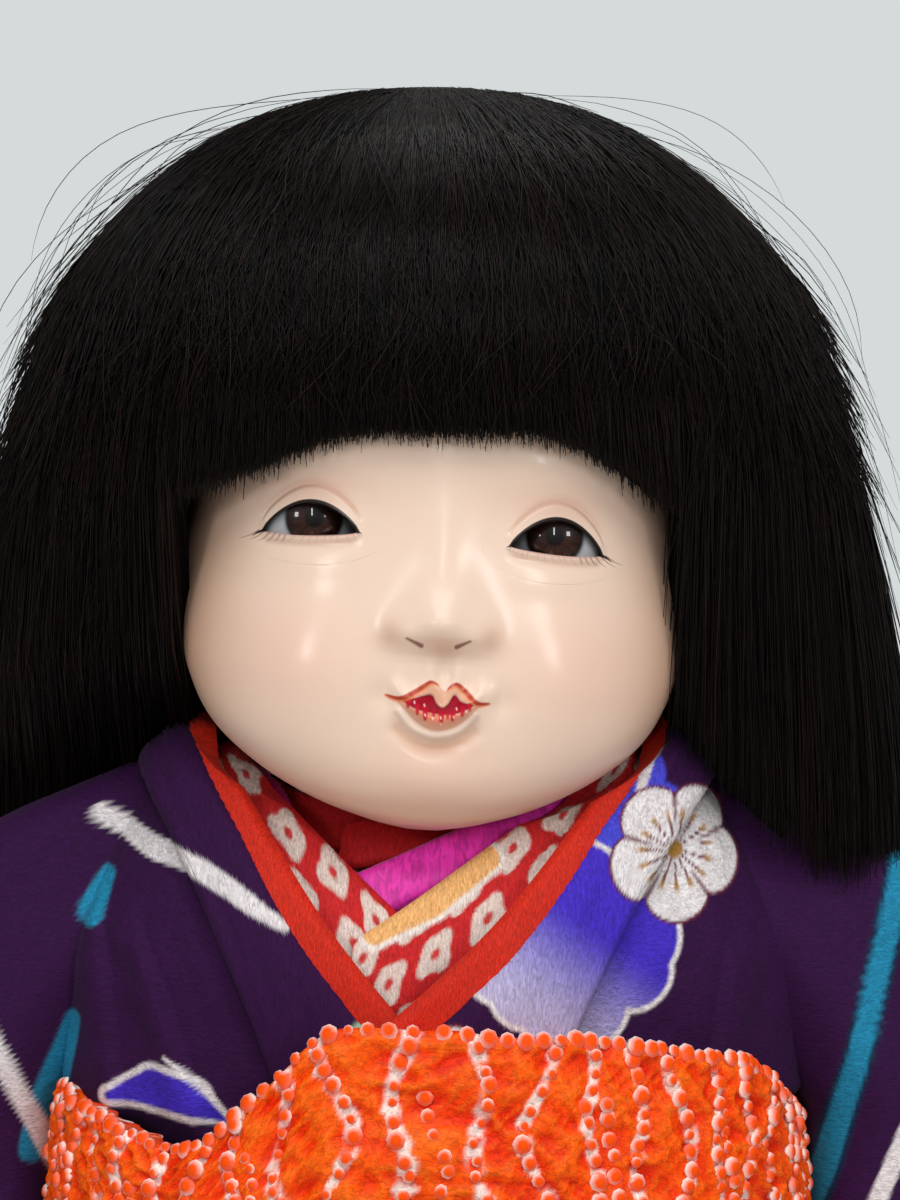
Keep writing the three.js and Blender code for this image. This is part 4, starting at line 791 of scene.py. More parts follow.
def hairAngle(x, level):
    width = hair["halfWidth"] * runThrough(hairLevels, hair["widths"], level)
    share = np.clip(np.abs(x) / np.maximum(width, hair["least"]), 0, 1)
    return np.sign(x) * np.arcsin(share ** (hair["squareness"] / 2))


def fringeEdge(x):
    return runThrough(*hair["fringe"], x)


def hairFoot(angle):
    x = np.sin(np.abs(angle)) ** (2 / hair["squareness"]) * hair["halfWidth"]
    left, right = runThrough(*hair["leftFoot"], x), runThrough(*hair["rightFoot"], x)
    behind = smooth(np.abs(angle), 1.5, 2.1)
    return mix(np.where(angle > 0, left, right), hair["backFoot"], behind)


hairPaint, hairTree, hairSurface = newMaterial("hair", hair["colour"], 0.36, Specular_IOR_Level=0.17)
massPaint = newMaterial("hair mass", hair["under"], 0.8, Specular_IOR_Level=0.06)[0]
tintNode = attributeNode(hairTree, "tint")
tintMix = addNode(hairTree, "ShaderNodeMix", data_type="RGBA")
tintMix.inputs[6].default_value = (*linear(*hair["colour"]), 1)
tintMix.inputs[7].default_value = (*linear(*hair["brown"]), 1)
hairTree.links.new(tintNode.outputs["Fac"], tintMix.inputs[0])
hairTree.links.new(tintMix.outputs[2], hairSurface.inputs["Base Color"])

sectionCurve = bpy.data.curves.new("strand section", "CURVE")
sectionCurve.dimensions = "2D"
sectionLoop = sectionCurve.splines.new("POLY")
sectionLoop.points.add(2)
for i, point in enumerate(sectionLoop.points):
    turn = math.tau * i / 3
    point.co = (0.001 * math.cos(turn), 0.001 * math.sin(turn), 0, 1)
sectionLoop.use_cyclic_u = True
sectionPiece = bpy.data.objects.new("strand section", sectionCurve)
scene.collection.objects.link(sectionPiece)


# Many thin strands as one mesh; thickness is a strand's half width in millimetres at each of its points.
def strandMesh(name, paths, thickness):
    curve = bpy.data.curves.new(name, "CURVE")
    curve.dimensions = "3D"
    curve.bevel_mode = "OBJECT"
    curve.bevel_object = sectionPiece
    curve.use_fill_caps = True
    places = np.ones((*paths.shape[:2], 4))
    places[..., :3] = toFrame(paths)
    for place, half in zip(places, thickness):
        spline = curve.splines.new("POLY")
        spline.points.add(len(place) - 1)
        spline.points.foreach_set("co", place.ravel())
        spline.points.foreach_set("radius", half)
    maker = bpy.data.objects.new(name + " maker", curve)
    scene.collection.objects.link(maker)
    bpy.context.view_layer.update()
    mesh = finishedMesh(maker, name)
    bpy.data.objects.remove(maker)
    mesh.shade_smooth()
    perStrand = len(mesh.vertices) // len(paths)
    tint = np.repeat(rng.uniform(0, 1, len(paths)) ** 3, perStrand)
    setValue(mesh, "tint", np.resize(tint, len(mesh.vertices)))
    return mesh


def strandWidth(count, points, tip=0.25):
    along = np.linspace(0, 1, points)
    shape = np.minimum(1, 0.35 + 4 * along) * np.where(along > 0.8, mix(1, tip, (along - 0.8) / 0.2), 1)
    return hair["strand"] * shape * rng.uniform(0.7, 1.25, (count, 1))


def wander(count, points, amount):
    along = np.linspace(0, 1, points) ** 1.5
    lean = rng.normal(0, amount, (count, 1, 3)) * along[None, :, None]
    wave = rng.normal(0, amount * 0.35, (count, 1, 3))
    turn = rng.uniform(2, 7, (count, 1)) * along + rng.uniform(0, 6.3, (count, 1))
    return lean + wave * (np.sin(turn) * along)[..., None]


# Where strands start: a share of them near the crown, the rest further down.
def crownStart(count, share, near, far):
    atCrown = rng.uniform(0, 1, count) < share
    rise = np.where(atCrown, rng.uniform(*near, count), rng.uniform(*far, count))
    return mix(hair["foot"], hair["top"], rise)


# The fringe's strands run from the crown to a brushed edge several millimetres thick.
def fringeStrands(name, count, low, high):
    points = 7
    endX = rng.uniform(low, high, count)
    deep = np.where(rng.uniform(0, 1, count) < 0.4, rng.uniform(0, 7, count), rng.uniform(-0.3, 1.4, count))
    edge = fringeEdge(endX) + rng.normal(0, 0.55, count) - 1.6 * (rng.uniform(0, 1, count) > 0.93)
    start = crownStart(count, 0.6, (0.93, 0.998), (0.62, 0.95))
    along = np.linspace(0, 1, points)
    level = mix(start[:, None], edge[:, None], along**0.9)
    angle = hairAngle(endX, fringeEdge(endX))[:, None] + rng.normal(0, 0.05, (count, 1)) * (1 - along)
    inset = deep[:, None] * smooth(along, 0, 0.5) + 2.2 * smooth(along, 0.25, 0) * (start < 490)[:, None]
    paths = hairPoint(angle, level, inset) + wander(count, points, 0.5)
    paths[..., 1] += (1.6 * smooth(along, 0.75, 1))[None, :]
    return strandMesh(name, paths, strandWidth(count, points, 0.5))


# A curtain of strands between two bearings, from the crown past the cheek and down to its own lower edge.
def curtainStrands(name, count, first, last):
    points = 8
    along = np.linspace(0, 1, points)
    share = rng.uniform(0, 1, count) ** 0.85
    side = np.sign(first if abs(first) > abs(last) else last)
    bearing = mix(first, last, share)
    spread = np.abs(bearing)
    landing = np.where(spread < hair["curtainTurn"], spread - hair["curtainStart"] + innerBearing, spread)
    foot = hairFoot(side * landing) + rng.normal(0, 1.2, count)
    short = rng.uniform(0, 1, count) < hair["layered"]
    foot = np.where(short, foot + rng.uniform(0, 1, count) ** 1.6 * 70, foot)
    start = crownStart(count, 0.55, (0.95, 0.998), (0.5, 0.96))
    start = np.maximum(start, foot + 25)
    level = mix(start[:, None], foot[:, None], along)
    inner = np.minimum(np.abs(hairAngle(runThrough(*hair["inner"], level), level)), fringeBearing)
    edge = inner * (0.9 + 0.1 * smooth(level, 470, 430))
    spread = spread[:, None]
    opened = spread - hair["curtainStart"] + np.maximum(edge, 0.25)
    angle = side * np.where(spread < hair["curtainTurn"], opened, spread)
    angle = side * np.minimum(np.abs(angle), np.pi)
    deep = np.where(rng.uniform(0, 1, count) < 0.25, rng.uniform(0, 4, count), rng.uniform(-0.6, 1, count))
    inset = deep[:, None] + 2.2 * smooth(along, 0.2, 0) * (start < 490)[:, None]
    paths = hairPoint(angle, level, inset) + wander(count, points, 1.5)
    return strandMesh(name, paths, strandWidth(count, points))


def hairMass(name, first, last, foot, thickness):
    share = np.linspace(0, 1, 61)[None, :]
    rise = np.linspace(0, 1, 61)[:, None]
    bearing = mix(first, last, share)
    level = foot(bearing) + (hair["top"] - 1.5 - foot(bearing)) * (1 - (1 - rise) ** 1.5)
    inner = np.minimum(np.abs(hairAngle(runThrough(*hair["inner"], level), level)) + 0.03, fringeBearing)
    side = np.sign(first + last)
    angle = bearing + 0 * level if side == 0 else side * mix(inner, max(abs(first), abs(last)), share)
    outer = hairPoint(angle, level, hair["mass"])
    deep = thickness * smooth(rise, 1, 0.7)
    within = hairPoint(angle, level, hair["mass"] + deep)
    points = np.concatenate([outer, within[:, ::-1], outer[:, :1]], 1)
    mesh = gridMesh(name, points[:, :: 1 if side >= 0 else -1])
    weld(mesh)
    return mesh


# A closed cap under the strands, where they part at the crown.
def hairCrown(name):
    levels = np.linspace(hair["top"] - 6, hair["top"] - 1, 8)
    angle, level = np.meshgrid(np.linspace(-math.pi, math.pi, 49), levels)
    rings = hairPoint(angle, level, hair["mass"] + 0.2)
    tip = np.broadcast_to(rings[-1].mean(0) + (0, 0, 0.3), rings[-1:].shape)
    mesh = gridMesh(name, np.concatenate([rings, tip]))
    weld(mesh)
    return mesh


fringeBearing = float(hairAngle(np.array(hair["fringeHalf"]), np.array(hair["fringeLevel"])))
innerBearing = float(hairAngle(np.array(hair["innerHalf"]), np.array(hair["innerLevel"])))


def fringeFoot(bearing):
    return fringeEdge(hairPoint(bearing, np.full_like(bearing, hair["fringeLevel"]), 0)[..., 0]) + 0.9


def curtainFoot(bearing):
    return hairFoot(bearing) + 2


fringeMass = hairMass("hair_fringe_mass", -fringeBearing, fringeBearing, fringeFoot, hair["fringeThick"])
addPiece(fringeMass, massPaint, "head", ["hair_fringe"])
addPiece(hairCrown("hair_crown"), massPaint, "head")
strandScale = 1
for i, (low, high) in enumerate(((-hair["fringeHalf"], 0.5), (-0.5, hair["fringeHalf"]))):
    mesh = fringeStrands(f"hair_fringe_strands_{i}", int(hair["fringeStrands"] / 2 * strandScale), low, high)
    addPiece(mesh, hairPaint, "head")
curtains = ((hair["curtainStart"], 1.2, "sideStrands"), (0.8, 1.9, "sideStrands"),
            (1.6, hair["curtainEnd"], "backStrands"))
hairParts = []
for sideName, side in (("left", 1), ("right", -1)):
    mass = hairMass(f"hair_{sideName}_mass", hair["curtainStart"] * side, hair["curtainEnd"] * side,
                    curtainFoot, hair["curtainThick"])
    nodes = [f"hair_{sideName}_side"] + (["hair_back"] if side > 0 else [])
    hairParts.append(addPiece(mass, massPaint, None, nodes))
    for i, (first, last, kind) in enumerate(curtains):
        count = int(hair[kind] * strandScale)
        mesh = curtainStrands(f"hair_{sideName}_strands_{i}", count, first * side, last * side)
        hairParts.append(addPiece(mesh, hairPaint, None, ()))


# Loose hairs that stand out of the outline, as brushed hair has.
def flyaways(name, count):
    points = 9
    along = np.linspace(0, 1, points)
    bearing = rng.choice([-1, 1], count) * rng.uniform(0.15, 2.3, count)
    start = rng.uniform(452, hair["top"] - 2, count)
    inFront = np.abs(bearing) < 0.8
    long = np.where(inFront, np.minimum(rng.uniform(10, 40, count), start - 447), rng.uniform(18, 75, count))
    level = start[:, None] - long[:, None] * (along - 0.55 * along * (1 - along))
    level = np.minimum(level, hair["top"] + 3)
    out = rng.uniform(1, 7, (count, 1)) * along**1.4 + rng.normal(0, 1, (count, 1)) * along
    angle = bearing[:, None] + rng.normal(0, 0.12, (count, 1)) * along
    held = np.clip(level, hair["foot"] + 4, hair["top"] - 0.3)
    paths = hairPoint(angle, held, -out) + wander(count, points, 2.5)
    paths[..., 2] += np.clip(level - (hair["top"] - 0.3), 0, 4) + out * 0.35 * smooth(level, 470, 500)
    return strandMesh(name, paths, strandWidth(count, points, 0.3) * 0.75)


# Single long hairs that leave the crown and fall back in an arc.
def looseArcs(name, count):
    points = 18
    along = np.linspace(0, 1, points)
    bearing = rng.choice([-1, 1], count) * rng.uniform(0.5, 1.75, count)
    start = rng.uniform(486, hair["top"] - 0.6, count)
    end = start - rng.uniform(20, 85, count)
    level = mix(start[:, None], end[:, None], along**1.3)
    angle = bearing[:, None] + rng.normal(0, 0.3, (count, 1)) * along
    far = rng.uniform(2, 13, (count, 1))
    arch = np.sin(np.pi * along * rng.uniform(0.4, 0.95, (count, 1)))
    out = far * arch ** rng.uniform(1, 1.8, (count, 1))
    paths = hairPoint(angle, level, -out)
    paths[..., 2] += 0.75 * out * smooth(level, 455, 500)
    return strandMesh(name, paths, strandWidth(count, points, 0.3) * 0.62)


# Short layered ends that flick out of the side curtains at the fringe's height.
def flickedEnds(name, count):
    points = 6
    along = np.linspace(0, 1, points)
    bearing = rng.choice([-1, 1, 1], count) * rng.uniform(0.9, 1.75, count)
    end = rng.uniform(424, 458, count)
    level = end[:, None] + rng.uniform(16, 30, (count, 1)) * (1 - along)
    out = rng.uniform(0.5, 4.5, (count, 1)) * along**2.2 + 0.4
    angle = bearing[:, None] + rng.normal(0, 0.06, (count, 1)) * along
    paths = hairPoint(angle, level, -out) + wander(count, points, 0.6)
    return strandMesh(name, paths, strandWidth(count, points, 0.3))


# Strands that lie across the others, which keeps the combed hair from looking woven.
def strayStrands(name, count):
    points = 8
    along = np.linspace(0, 1, points)
    bearing = rng.choice([-1, 1], count) * rng.uniform(0, 2.6, count)
    start = rng.uniform(440, hair["top"] - 0.5, count)
    inFront = np.abs(bearing) < 0.6
    start = np.where(inFront, np.maximum(start, 462), start)
    long = np.where(inFront, np.minimum(rng.uniform(18, 50, count), start - 440), rng.uniform(25, 70, count))
    level = start[:, None] - long[:, None] * along
    angle = bearing[:, None] + rng.normal(0, 0.1, (count, 1)) * along
    angle = angle + 0.03 * np.sin(rng.uniform(2, 6, (count, 1)) * along)
    inset = -rng.uniform(0.2, 1.2, (count, 1)) - 1.2 * (rng.uniform(0, 1, (count, 1)) > 0.8) * along
    return strandMesh(name, hairPoint(angle, level, inset), strandWidth(count, points, 0.3))


looseKinds = (
    (strayStrands, "hair_stray_strands", int(hair["stray"] * strandScale)),
    (flyaways, "hair_flyaways", int(hair["flyaways"] * strandScale) + 20),
    (looseArcs, "hair_loose_arcs", int(hair["arcs"] * strandScale) + 4),
    (flickedEnds, "hair_flicked_ends", int(hair["flicked"] * strandScale)),
)
for makeHair, name, count in looseKinds:
    hairParts.append(addPiece(makeHair(name, count), hairPaint, None, ()))
bpy.data.objects.remove(sectionPiece)
for piece in hairParts:
    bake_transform(piece)
print("stage: hair done")

# The dressed figure's sections from the hem to the neck; each garment lies a set distance outside it.
figure = {
    "levels": [31, 112.9, 185.9, 247.9, 281.9, 334.9, 350.4, 364.3, 371.8, 375.9],
    "widths": [43, 44, 45, 43, 43, 44, 45, 40.5, 30.8, 22.5],
    "fronts": [36, 36, 34, 29, 29, 29, 27.3, 20.3, 15.1, 12],
    "backs": [36, 36, 34, 29, 29, 28, 27.8, 24.9, 22.6, 20],
    "squareness": 2.4, "rise": ([281.9, 346.9, 375.9], [0, 0.15, 1]),
    "neck": 374.6, "crossingX": -5, "shoulder": 375.9,
}


def figureWidth(level):
    return runThrough(figure["levels"], figure["widths"], level)


def figurePoint(angle, level, lift):
    front = runThrough(figure["levels"], figure["fronts"], level) + lift
    back = runThrough(figure["levels"], figure["backs"], level) + lift
    x, y = ovalPoint(angle, figureWidth(level) + lift, front, back, figure["squareness"])
    return np.stack([x, y, level + lift * runThrough(*figure["rise"], level)], -1)


def frontAngle(x, level, lift):
    share = np.clip(np.abs(x) / (figureWidth(level) + lift), 0, 1)
    return np.sign(x) * np.arcsin(share ** (figure["squareness"] / 2))


def levelBelow(angle, level, lift, distance):
    angle, level, distance = np.broadcast_arrays(angle, level, distance)
    low, gone = level.astype(float).copy(), np.zeros(level.shape)
    last = figurePoint(angle, low, lift)
    step = 0.25
    while (gone < distance).any():
        more = gone < distance
        low = np.where(more, low - step, low)
        point = figurePoint(angle, low, lift)
        gone = gone + np.where(more, np.linalg.norm(point - last, axis=-1), 0)
        last = point
    return low


# Soft random hills on a lattice, for crumples and for uneven edges.
def noise(u, v, seed, size):
    lattice = np.random.default_rng(seed).uniform(-1, 1, (64, 64))
    u, v = np.asarray(u) / size, np.asarray(v) / size
    column, row = np.floor(u).astype(int), np.floor(v).astype(int)
    s, t = u - column, v - row
    s, t = s * s * (3 - 2 * s), t * t * (3 - 2 * t)
    near = lambda i, j: lattice[(row + j) % 64, (column + i) % 64]
    return mix(mix(near(0, 0), near(1, 0), s), mix(near(0, 1), near(1, 1), s), t)


# Crepe: fine uneven ripples along the cloth, from its own across and along in millimetres.
def crepeGroup():
    group = bpy.data.node_groups.new("crepe", "ShaderNodeTree")
    for name in ("Pitch", "Strength", "Depth"):
        group.interface.new_socket(name, in_out="INPUT", socket_type="NodeSocketFloat")
    group.interface.new_socket("Normal", in_out="OUTPUT", socket_type="NodeSocketVector")
    group.interface.new_socket("Shade", in_out="OUTPUT", socket_type="NodeSocketFloat")
    start, end = addNode(group, "NodeGroupInput"), addNode(group, "NodeGroupOutput")
    place = attributeNode(group, "place")
    scaled = addNode(group, "ShaderNodeVectorMath", operation="SCALE")
    squeeze = addNode(group, "ShaderNodeVectorMath", operation="MULTIPLY")
    squeeze.inputs[1].default_value = (0.36, 1, 1)
    ripple = addNode(group, "ShaderNodeTexNoise", noise_dimensions="2D")
    ripple.inputs["Scale"].default_value = 2.4
    ripple.inputs["Detail"].default_value = 2
    ripple.inputs["Distortion"].default_value = 0.9
    bump = addNode(group, "ShaderNodeBump")
    group.links.new(start.outputs["Depth"], bump.inputs["Distance"])
    group.links.new(place.outputs["Vector"], scaled.inputs[0])
    group.links.new(start.outputs["Pitch"], scaled.inputs["Scale"])
    group.links.new(scaled.outputs[0], squeeze.inputs[0])
    group.links.new(squeeze.outputs[0], ripple.inputs["Vector"])
    group.links.new(ripple.outputs["Fac"], bump.inputs["Height"])
    group.links.new(start.outputs["Strength"], bump.inputs["Strength"])
    group.links.new(bump.outputs[0], end.inputs["Normal"])
    group.links.new(ripple.outputs["Fac"], end.inputs["Shade"])
    return group


crepe = crepeGroup()


# How far the ripples darken and lighten a cloth's colour.
rippleShade = {"From Min": 0.3, "From Max": 0.7, "To Min": 0.72, "To Max": 1.2}


def clothMaterial(name, colour, roughness, pitch, strength, painted=True, sheen=0.03, gloss=0.2,
                  depth=0.00025):
    material, tree, surface = newMaterial(
        name, colour, roughness, Specular_IOR_Level=gloss, Sheen_Weight=sheen, Sheen_Roughness=0.4)
    ripples = addNode(tree, "ShaderNodeGroup", node_tree=crepe)
    for key, value in (("Pitch", pitch), ("Strength", strength), ("Depth", depth)):
        ripples.inputs[key].default_value = value
    tree.links.new(ripples.outputs["Normal"], surface.inputs["Normal"])
    shade = addNode(tree, "ShaderNodeMapRange")
    for key, value in rippleShade.items():
        shade.inputs[key].default_value = value
    tree.links.new(ripples.outputs["Shade"], shade.inputs["Value"])
    blend = addNode(tree, "ShaderNodeVectorMath", operation="SCALE")
    if painted:
        tree.links.new(attributeNode(tree, "tone").outputs["Color"], blend.inputs[0])
    else:
        blend.inputs[0].default_value = linear(*colour)
    tree.links.new(shade.outputs[0], blend.inputs["Scale"])
    tree.links.new(blend.outputs[0], surface.inputs["Base Color"])
    return material


# The kimono's print: lines, clouds and plum blossom on purple, in millimetres seen from the front.
# Each stroke is an ink, whether it wavers sideways, how soft its edge is, its points and its widths.
leafLine = ((-55, 324), (-47, 325.5), (-40, 324), (-33, 320.5))
ribbonLine = ((84, 366), (81, 353), (76, 334), (70, 310), (66, 296))
kimono = {
    "lift": 12.6, "hem": 37.4, "upperFoot": 308, "skirtTop": 310, "rim": 0.9, "waver": 0.5,
    "purple": (48, 6, 60), "white": (226, 220, 222), "maroon": (104, 32, 50), "violet": (66, 44, 190),
    "lavender": (186, 178, 214), "cyan": (28, 130, 168), "gold": (176, 130, 60), "green": (150, 190, 160),
    "navy": (18, 40, 70), "iris": (70, 70, 205),
    "strokes": (
        ("white", False, 0.25, ((-58.5, 371), (-48, 366.5), (-38, 362.5), (-30, 358), (-24, 354.5)),
         (3.4, 3.9, 3.6, 3.2, 1.6)),
        ("cyan", True, 0.4, ((-56.5, 361), (-59, 355)), (3, 5.4)),
        ("cyan", True, 0.4, ((-62, 336), (-67, 322), (-70, 312)), (3, 5.5, 4)),
        ("white", False, 0.25, ((-78, 336), (-74, 328), (-69, 316), (-66, 305)), (3, 3.4, 3, 2)),
        ("white", False, 0.3, leafLine, (4, 9, 8, 1)),
        ("violet", False, 0.3, leafLine, (1.6, 6.6, 5.6, 0.2)),
        ("white", False, 0.25, ((-45, 331), (-38, 326), (-33, 320.5)), (0.6, 1.6, 0.5)),
    ),
    "cloud": ((12, 349, 6), (17, 345, 6.5), (22, 342, 7), (27, 341, 6.5), (21, 352, 9), (28, 350, 9),
              (34, 352, 8.5), (30, 358, 8), (26, 361, 7), (35, 346, 6)),
    "patch": ((35, 379, 6), (32, 372, 5), (39, 372, 6)), "bigBlossom": (42.5, 366, 11.8, 0.3),
    "smallBlossom": (3, 333, 6, 0.2), "bud": ((34.5, 331, 3.4),), "leaves": ((-10, 336, 3.2), (-7, 333, 3)),
    "upperFlat": (0.40, 0.072), "upperArea": 0.025, "skirtFlat": (0.34, 0.275),
    "patchStrokes": (("white", False, 0.2, ((41, 388), (37, 378), (34, 369)), (0.9, 1.6, 1.2)),),
    "ribbons": (
        ("navy", False, 0.3, ribbonLine, (4.6, 5.6, 5.6, 5.4, 4)),
        ("cyan", False, 0.3, ribbonLine, (3, 3.8, 3.9, 3.6, 2.4)),
        ("white", False, 0.25, ((87, 326), (84, 318), (77, 302), (72, 292)), (3, 3.4, 3, 2)),
    ),
}


def cloudCover(x, z, lobes, soft=0.3):
    cover = np.zeros_like(x)
    for cx, cz, radius in lobes:
        cover = np.maximum(cover, 1 - smooth(np.hypot(x - cx, z - cz), radius - soft, radius + soft))
    return cover


# A cloud of round lobes with a white rim, shading from lavender to violet.
def paintCloud(tone, x, z, lobes, deep):
    cover = cloudCover(x, z, lobes)
    rim = [(cx, cz, radius + kimono["rim"]) for cx, cz, radius in lobes]
    tone = paintOver(tone, kimono["white"], cloudCover(x, z, rim))
    shade = mix(linear(*kimono["lavender"]), linear(*kimono["violet"]), deep[..., None])
    return tone + (shade - tone) * cover[..., None]


def blossom(tone, x, z, cx, cz, radius, turn):
    dx, dz = x - cx, z - cz
    away, bearing = np.hypot(dx, dz), np.arctan2(dz, dx) + turn
    edge = radius * (0.74 + 0.26 * np.abs(np.cos(2.5 * bearing)) ** 0.55)
    inside = 1 - smooth(away, edge - 0.2, edge + 0.2)
    tone = paintOver(tone, kimono["maroon"], 1 - smooth(away, edge + 0.3, edge + 0.75))
    tone = paintOver(tone, kimono["white"], inside)
    seams = smooth(np.abs(np.sin(2.5 * bearing)), 0.985, 0.999) * smooth(away, 0.3 * radius, 0.5 * radius)
    tone = paintOver(tone, kimono["maroon"], 0.8 * inside * seams)
    spokes = smooth(np.cos(bearing * 15), 0.55, 0.95) * (away < 0.5 * radius) * (away > 0.12 * radius)
    tone = paintOver(tone, kimono["maroon"], spokes * inside)
    tips = smooth(np.cos(bearing * 15), 0.3, 0.8) * hill(away - 0.53 * radius, 0.07 * radius)
    tone = paintOver(tone, kimono["gold"], tips * inside)
    return paintOver(tone, kimono["gold"], 1 - smooth(away, 0.1 * radius, 0.16 * radius))


def printStrokes(tone, x, z, wave, strokes):
    for ink, sideways, soft, line, widths in strokes:
        place = (x + wave, z) if sideways else (x, z + wave)
        tone = paintOver(tone, kimono[ink], strokeCover(*place, line, widths, soft))
    return tone


def frontPrint(tone, x, z):
    wave = kimono["waver"] * noise(x, z, 3, 7)
    tone = printStrokes(tone, x, z, wave, kimono["strokes"])
    deep = smooth(0.55 * (x - 12) + 0.75 * (z - 340), 2, 20)
    tone = paintCloud(tone, x, z + wave, kimono["cloud"], deep)
    tone = paintOver(tone, kimono["iris"], cloudCover(x, z, kimono["patch"]))
    tone = printStrokes(tone, x, z, wave, kimono["patchStrokes"])
    tone = blossom(tone, x, z, *kimono["bigBlossom"])
    tone = paintOver(tone, kimono["lavender"], cloudCover(x, z, kimono["bud"]))
    tone = paintOver(tone, kimono["green"], cloudCover(x, z, kimono["leaves"]))
    tone = blossom(tone, x, z, *kimono["smallBlossom"])
    return printStrokes(tone, x, z, wave, kimono["ribbons"])


# The rest of the print, out of the photograph's sight, drawn in the same few shapes.
def scatterPrint(tone, u, v, seed, low, high, count):
    draw = random.Random(seed)
    wave = kimono["waver"] * noise(u, v, 3, 7)
    for i in range(count):
        cx, cz = draw.uniform(*low), draw.uniform(*high)
        lean = draw.uniform(-0.5, 0.5)
        long = draw.uniform(14, 30)
        ink = ("white", "cyan", "white", "violet")[i % 4]
        line = ((cx - long * lean - 5, cz + long), (cx - 4, cz + 4), (cx + 2, cz - 6),
                (cx + long * lean, cz - long))
        tone = printStrokes(tone, u, v, wave, ((ink, False, 0.3, line, (2, 3.6, 4.2, 1.6)),))
        if i % 2 == 0:
            lobes = [(cx + 12, cz + 6, 7), (cx + 18, cz + 1, 8), (cx + 8, cz - 2, 6), (cx + 24, cz + 6, 6)]
            tone = paintCloud(tone, u, v, lobes, smooth(u - cx, 4, 26))
            tone = blossom(tone, u, v, cx + 10, cz + 12, draw.uniform(7, 10), lean)
    return tone


purpleCrepe = clothMaterial("purple crepe", kimono["purple"], 0.8, 1, 0.7)


# Folds where the shoulder is tucked, running from the collar down into the sash: top, foot and depth.
tucks = (((-57, 362), (-53, 322), 1.6), ((-51, 357), (-38.5, 324), 1.9), ((52, 352), (47, 322), 1.4))


def shoulderTucks(x, level):
    relief = np.zeros_like(x)
    for top, foot, deep in tucks:
        share = np.clip((top[1] - level) / (top[1] - foot[1]), 0, 1.2)
        lineX = mix(top[0], foot[0], share)
        side = np.sign(top[0]) * (x - lineX)
        relief += deep * smooth(side, -0.6, 0.5) * (1 - smooth(side, 0.5, 9)) * smooth(share, 0, 0.25)
    return relief


def collarLevel(x, crossing, lift):
    startX = figureWidth(figure["neck"]) + lift
    apex = figure["shoulder"] - crossing
    neckX = np.where(x > figure["crossingX"], startX, -startX)
    share = (x - figure["crossingX"]) / (neckX - figure["crossingX"])
    return mix(apex, figure["neck"], np.clip(share, 0, 1))


def bodyCloth(name, low, high, columns, rows, lift, neck=True):
    turn = np.linspace(-1, 1, columns)
    turn = 0.5 * turn + 0.5 * turn**3 if neck else turn
    angle, level = np.meshgrid(np.pi * turn, np.linspace(low, high, rows))
    swell = 11 * np.abs(np.sin(angle)) ** 4 * smooth(level, 314, 323) * (1 - smooth(level, 338, 369))
    points = figurePoint(angle, level, lift + swell)
    x, front = points[..., 0], np.cos(angle) > -0.1
    folds = np.where(front, shoulderTucks(x, points[..., 2]), 0) if neck else 0
    sway = 0.5 * noise(np.degrees(angle), level * 0.5, 11, 9) + 0.25 * noise(np.degrees(angle), level, 12, 4)
    skirt = (1 - smooth(level, 120, 250)) * 1.6 * np.sin(angle * 9 + 0.02 * level)
    skirt = skirt * (0.4 + 0.6 * (1 - smooth(level, 40, 160)))
    points = figurePoint(angle, level, lift + swell + folds + sway + skirt)
    around = np.degrees(angle) * 1.02
    tone = plainTone(kimono["purple"], x.shape)
    if neck:
        seen = frontPrint(tone, points[..., 0], points[..., 2])
        unseen = scatterPrint(tone, around, level, 5, (-180, 180), (300, 360), 6)
        tone = np.where(front[..., None], seen, unseen)
    else:
        tone = scatterPrint(tone, around, level, 9, (-170, 150), (50, 230), 12)
    mesh = gridMesh(name, points)
    setColour(mesh, "tone", tone)
    setPlace(mesh, "place", around, level)
    if neck:
        accent = collars["accent_collar"]
        opening = collarLevel(points[..., 0], accent["crossing"], accent["lift"])
        cutAway(mesh, (np.cos(angle) > 0) & (level > opening - 3))
    weld(mesh)
    return mesh


turnedHeads = []
headWork = bmesh.new()
headWork.from_mesh(headMesh)
turned = 0
for degrees in head["turns"]:
    step = Matrix.Rotation(math.radians(degrees - turned), 3, "Z")
    bmesh.ops.rotate(headWork, cent=head["axis"], matrix=step, verts=headWork.verts)
    turnedHeads.append(BVHTree.FromBMesh(headWork))
    turned = degrees
headWork.free()


# Room for the head to turn: points of a cloth that the turned head would touch are moved out to its surface.
def makeRoom(mesh):
    spots = meshPoints(mesh)
    for tree in turnedHeads:
        for i in np.flatnonzero(spots[:, 2] > head["roomFoot"]):
            place, normal, face, away = tree.find_nearest(spots[i], head["reach"])
            if face is not None and (away < head["room"] or np.dot(spots[i] - np.array(place), normal) < 0):
                spots[i] = place + normal * head["room"]
    mesh.vertices.foreach_set("co", spots.ravel())


